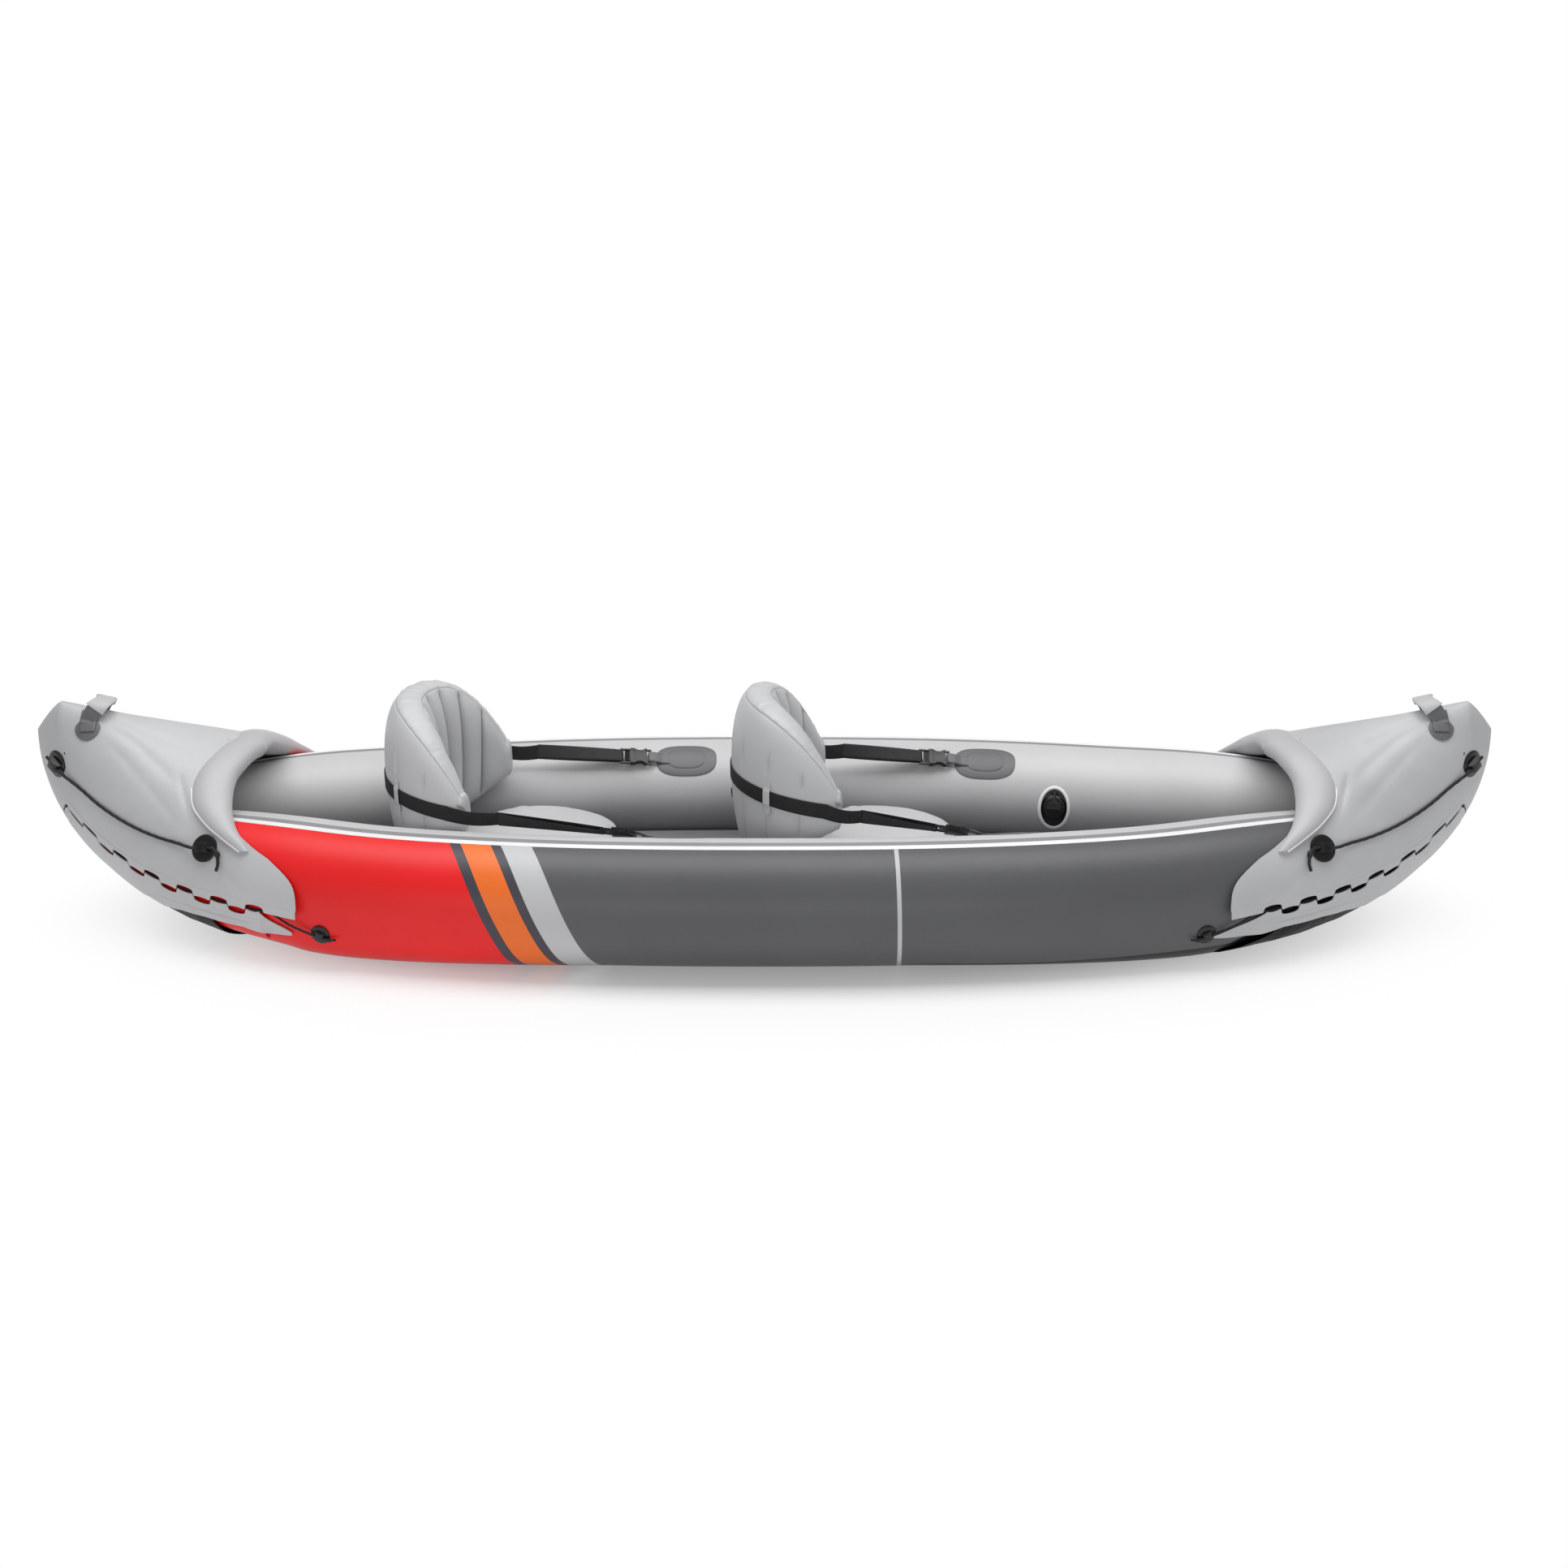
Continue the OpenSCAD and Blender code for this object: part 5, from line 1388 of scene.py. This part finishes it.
def backPt(v, a):  # v runs across the channels, a round the section from the outer face
    tall = power(sinD(a), 2/back["round"])
    u = v*(1 + back["fan"]*tall*(1 - v*v))
    f = (abs(v)*back["channels"]/2) % 1
    puff = math.sqrt(max(0, 1 - (2*f - 1)**2))
    inner = ease(-cosD(a), 0.36, 0.62)
    outer = ease(cosD(a), 0.45, 0.8)*(1 - ease(tall, -0.55, 0.05))
    edgeFade = 1 - ease(abs(v), 0.94, 1.0)
    thick = backThick(u)*(1 - (1 - puff)*edgeFade*(back["depth"]*inner + back["flute"]*outer))
    middle, high = backTall(u)
    reach = power(cosD(a), 2/back["round"])*thick
    weld = min(f, 1 - f)*2/back["channels"]  # short tucks where the inner webs end
    reach -= back["dent"]*math.exp(-(weld/0.011)**2 - ((tall - 0.36)/0.13)**2)*ease(cosD(a), 0.3, 0.6)
    spot = backMid(u) + backOut(u)*reach
    spot.z = middle + tall*high
    for s in backWelds:
        pull = back["weld"]*math.exp(-((a - s)/0.8)**2)
        spot -= (backOut(u)*cosD(a) + Vector((0, 0, sinD(a))))*pull
    onBand = ease(abs(sinD(a)), 0.90, 0.96)
    pucker = noise.noise(Vector((u*16, math.copysign(1, sinD(a)), 1.7)))*0.0026
    pucker += 0.0014*sinD(u*5200 + 260*noise.noise(Vector((u*7, 0.3, 2.2))))
    pucker += 0.0016*noise.noise(Vector((u*46, a*0.05, 8.1)))
    spot += Vector((0, 0, math.copysign(pucker*onBand, sinD(a))))
    return spot


def backrest(name, seat):
    each = back["rowsEach"]
    marks = []
    for k in range(back["channels"]):
        marks += [-1 + (k + 0.5 - 0.5*math.cos(math.pi*s/each))*2/back["channels"] for s in range(each)]
    marks.append(1.0)
    rings = [[backPt(v, a) for a in backAngles] for v in marks]
    for end in (0, -1):  # round off the wings
        ring = rings[end]
        centre = sum(ring, Vector())/len(ring)
        side = -1 if end == 0 else 1
        push = Vector((sinD(back["span"]), side*cosD(back["span"]), 0))
        extra = []
        for s in range(1, back["tipRows"]):
            turn = 90*s/back["tipRows"]
            move = push*back["tipLong"]*sinD(turn)
            extra.append([centre + (p - centre)*cosD(turn)**0.5 + move for p in ring])
        rings = list(reversed(extra)) + rings if end == 0 else rings + extra
    pad = loft(name, rings, 70)
    pad.data.transform(seat["spin"])
    return pad


def backFace(u, z, off):  # a point on the outer face
    middle, high = backTall(u)
    share = limit(abs((z - middle)/high), 0, 0.98)
    reach = backThick(u)*(1 - share**back["round"])**(1/back["round"]) + off
    spot = backMid(u) + backOut(u)*reach
    return Vector((spot.x, spot.y, z))


strap = {"reach": 0.93, "high": 0.635*back["top"], "wide": 0.032, "thick": 0.002, "off": 0.0017,
         "droop": 0.03, "sag": 0.006, "fold": 0.34, "bar": 0.066, "steps": 24, "keeperWide": 0.019,
         "keeperHalf": 0.037, "keeperAt": 0.52, "keeperThick": 0.0017}


def strapZ(u):
    return strap["high"] - strap["droop"]*u*u


def strapPt(u, off):
    spot = backMid(u) + backOut(u)*(backThick(u) + off)
    return Vector((spot.x, spot.y, strapZ(u)))


def backStrap(name, seat):
    path = [seat["spin"] @ strapPt(strap["reach"]*k/48, strap["off"]) for k in range(-48, 49)]
    return ribbonStrap(name, path, [Vector((0, 0, 1))]*len(path), strap["wide"], strap["thick"])


def keeper(name, seat, side):
    u = side*strap["keeperAt"]
    path, widths = [], []
    for k in range(41):
        t = k/20 - 1
        z = strapZ(u) + t*strap["keeperHalf"]
        over = ease(1 - abs(t), 0.38, 0.66)
        low = backFace(u, z, 0.0012)
        high = strapPt(u, strap["off"] + 0.0022)
        out = backOut(u)
        gain = max(0, (high - low).dot(out))*over
        path.append(low + out*gain)
        widths.append(strap["keeperWide"]*math.sqrt(max(0.01, 1 - max(0, (abs(t) - 0.75)/0.25)**2)))
    ahead = backMid(u + 0.01) - backMid(u - 0.01)
    strip = ribbonStrap(name, path, [ahead]*len(path), widths, strap["keeperThick"])
    strip.data.transform(seat["spin"])
    return strip


def strapEnd(seatName, seat, sideName, side):
    m = buckleFrame(seat, side)
    level = m.to_3x3() @ Vector((0, 1, 0))
    across = level if level.z > 0 else -level
    bar, count = strap["bar"], strap["steps"]
    loop = barLoop(m, bar, -1)
    end = seat["spin"] @ strapPt(side*strap["reach"], strap["off"])
    start = end - (loop[0] - end).normalized()*0.004 + Vector((0, side*0.0006, 0))
    fold = start.lerp(loop[0], strap["fold"])
    out = m.to_3x3() @ Vector((0, 0, 1))
    runPath = [start.lerp(fold, k/count) + Vector((0, 0, -strap["sag"]*sinD(180*k/count)))
               for k in range(count + 1)]
    upright = Vector((0, 0, 1))
    runWide = [upright.lerp(across, strap["fold"]*k/count) for k in range(count + 1)]
    node = "%s_strap_%s" % (seatName, sideName)
    run = ribbonStrap(seatName + "StrapRun" + sideName.title(), runPath, runWide, strap["wide"],
                      strap["thick"])
    dress(run, blackWebbing, "webbing", None)
    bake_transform(run)
    lap = fold.lerp(loop[0], -0.03)
    upper = [lap.lerp(loop[0], k/count) + out*0.0016*(1 - (k/count)**3) for k in range(count)]
    below = m @ Vector((bar + 0.01, 0, -0.0038))
    lower = [below.lerp(fold - out*0.0022, k/count) for k in range(count + 1)]
    path = upper + loop + lower
    wides = [upright.lerp(across, mix(strap["fold"], 1, k/count)) for k in range(count)]
    wides += [across]*len(loop) + [across.lerp(wides[0], k/count) for k in range(count + 1)]
    tail = ribbonStrap(seatName + "StrapTail" + sideName.title(), path, wides, strap["wide"] - 0.001,
                       strap["thick"])
    dress(tail, coarseWebbing, "webbing", None, node)
    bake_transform(tail)


guard = {"from": 0.0468, "to": 0.0592, "half": 0.0158, "thick": 0.0034, "rows": 12, "rib": 0.22,
         "round": 0.3}


def plugGuard(name, seat, side):  # the ribbed plate between the plug's rails
    m = buckleFrame(seat, side)
    rings = []
    for k in range(guard["rows"] + 1):
        taper = 0.7 if k in (0, guard["rows"]) else 1
        swell = guard["thick"]/2*(1 + guard["rib"]*math.cos(k*math.pi))*taper
        x = mix(guard["from"], guard["to"], k/guard["rows"])
        rings.append([m @ Vector((x, guard["half"]*power(cosD(18*j), guard["round"]),
                                  swell*power(sinD(18*j), guard["round"]))) for j in range(20)])
    return loft(name, rings, 40)


for seatName, seat in seats.items():
    body = seatName + "_seat_back"
    pad = dress(backrest(seatName + "Backrest", seat), seatVinyl, "seat", body,
                seatName + "_backrest")
    dress(backStrap(seatName + "BackStrap", seat), blackWebbing, "webbing", body,
          seatName + "_back_strap")
    pair = joinUp(keeper(seatName + "Keepers", seat, -1), keeper("keeperPort", seat, 1))
    dress(pair, seatVinyl, "seat", body, seatName + "_keepers")
    for sideName, side in bothSides:
        strapEnd(seatName, seat, sideName, side)
        plate = plugGuard(seatName + "PlugGuard" + sideName.title(), seat, side)
        dress(plate, blackPlastic, "fitting", "%s_plug_%s_body" % (seatName, sideName))
    nodeCopy("backrest_valve_" + seatName, seatName + "BackrestValve", 0.0005, darkRubber, "patch", body)
print("backrests and straps ready")

# seat cushions: inflated pillows with a welded flange round them
cushion = {"long": 0.360, "halfWide": 0.160, "high": 0.090, "floor": 0.0938, "rows": 56, "around": 56,
           "voxel": 0.006, "pressure": 4.0, "cap": 0.006, "shrink": 0.975, "frames": 20,
           "ahead": 0.004, "round": 2.6, "widestAt": 0.36, "rear": 0.46, "nose": 2.5}
cushion["seam"] = 0.34*cushion["high"]
cushion["base"] = cushion["floor"] + 0.0003 + cushion["seam"]  # height of the welded edge


def cushionHalf(t):
    at = cushion["widestAt"]
    if t < at:
        return cushion["halfWide"]*(max(0.012, t)/at)**cushion["rear"]
    gone = ((t - at)/(1 - at))**cushion["nose"]
    return cushion["halfWide"]*max(0.002, 1 - gone)**(1/cushion["nose"])


def cushionRing(t, x0):
    wide = cushionHalf(t)
    fill = limit(wide/cushion["halfWide"], 0, 1)**0.45
    ring = []
    for k in range(cushion["around"]):
        a = 360*k/cushion["around"]
        high = (cushion["high"] - cushion["seam"])*fill if a < 180 else cushion["seam"]
        ring.append(Vector((x0 + cushion["ahead"] + t*cushion["long"],
                            wide*power(cosD(a), 2/cushion["round"]),
                            cushion["base"] + power(sinD(a), 2/cushion["round"])*high)))
    return ring


def blowUp(pad):  # swells the pad as air does, with the cloth solver
    centre = sum((v.co for v in pad.data.vertices), Vector())/len(pad.data.vertices)
    for vertex in pad.data.vertices:
        vertex.co = centre + (vertex.co - centre)*cushion["shrink"]
    pickUp(pad)
    pad.data.remesh_voxel_size = cushion["voxel"]
    bpy.ops.object.voxel_remesh()
    rest = [v.co.copy() for v in pad.data.vertices]
    cloth = pad.modifiers.new("Air", "CLOTH")
    cloth.settings.use_pressure = True
    cloth.settings.uniform_pressure_force = cushion["pressure"]
    cloth.settings.effector_weights.gravity = 0
    cloth.settings.quality = 5
    scene = bpy.context.scene
    for step in range(1, cushion["frames"] + 1):
        scene.frame_set(step)
    bpy.ops.object.modifier_apply(modifier=cloth.name)
    scene.frame_set(1)
    for vertex, old in zip(pad.data.vertices, rest):
        move = vertex.co - old
        if move.length > cushion["cap"]:
            vertex.co = old + move.normalized()*cushion["cap"]
        vertex.co.z = max(vertex.co.z, cushion["floor"] + 0.0004)
    finishWith(pad, "SMOOTH", iterations=4, factor=0.5)
    finishWith(pad, "SUBSURF", levels=1, render_levels=1)


def cushionFlange(name, x0):
    steps = [0.5 - 0.5*math.cos(math.pi*k/60) for k in range(61)]
    edge = [Vector((x0 + cushion["ahead"] + t*cushion["long"], cushionHalf(t), cushion["base"]))
            for t in steps]
    edge += [otherSide(p) for p in reversed(edge)]
    path = evenPath(edge + [edge[0]], 240)
    frames = runFrames(path, (0, 0, 1))
    rings = [[p + s*(0.0013*cosD(45*k)) + u*(0.0042*sinD(45*k)) for k in range(8)]
             for p, (d, s, u) in zip(path, frames)]
    return loft(name, rings, 50)


for seatName, seat in seats.items():
    marks = [0.5 - 0.5*math.cos(math.pi*k/cushion["rows"]) for k in range(cushion["rows"] + 1)]
    pad = loft(seatName + "Cushion", [cushionRing(t*0.995, seat["x"]) for t in marks])
    blowUp(pad)
    smoothFaces(pad, 60)
    dress(pad, seatVinyl, "seat", "hull", seatName + "_cushion")
    dress(cushionFlange(seatName + "CushionFlange", seat["x"]), seatVinyl, "seat", "hull")
print("cushions ready")

# side air valves, with a pale ring round the recess
surround = {"wide": 0.0075, "high": 0.0012, "cols": 120}
nodeCopy("valve_bases", "valveBases", 0.0006, blackPlastic, "fitting", "hull")


def valveRing(name, side):
    x0, turn = tubes["pocketX"], tubes["pocketAngle"]
    radius = tubeR(x0)
    wide, stretch = tubes["pocketWide"]/2, (tubes["pocketHigh"] - tubes["pocketWide"])/2
    heights = [0.0, 0.8, 1.0, 1.0, 0.8, 0.0]
    rows = len(heights) - 1

    def place(row, col):
        a = 360*(col % surround["cols"])/surround["cols"]
        reach = wide + 0.0002 + surround["wide"]*row/rows
        px, py = reach*cosD(a), (reach + stretch)*sinD(a)
        return tubePt(x0 + px*tubeAxis(x0, side).x, side, turn + math.degrees(py/radius),
                      heights[row]*surround["high"] + 0.0002)

    return openSkin(name, rows, surround["cols"], place, tubeMid(x0, side))[0]


dress(joinUp(valveRing("valveRings", 1), valveRing("valveRingNear", -1)), seamVinyl, "seam", "hull")
for sideName, side in bothSides:
    for part, edge in (("leash", 0.0004), ("cap", 0.0006)):
        node = "%s_valve_%s" % (sideName, part)
        nodeCopy(node, sideName + "Valve" + part.title(), edge, blackPlastic, "fitting", node + "_body")
print("valves ready")
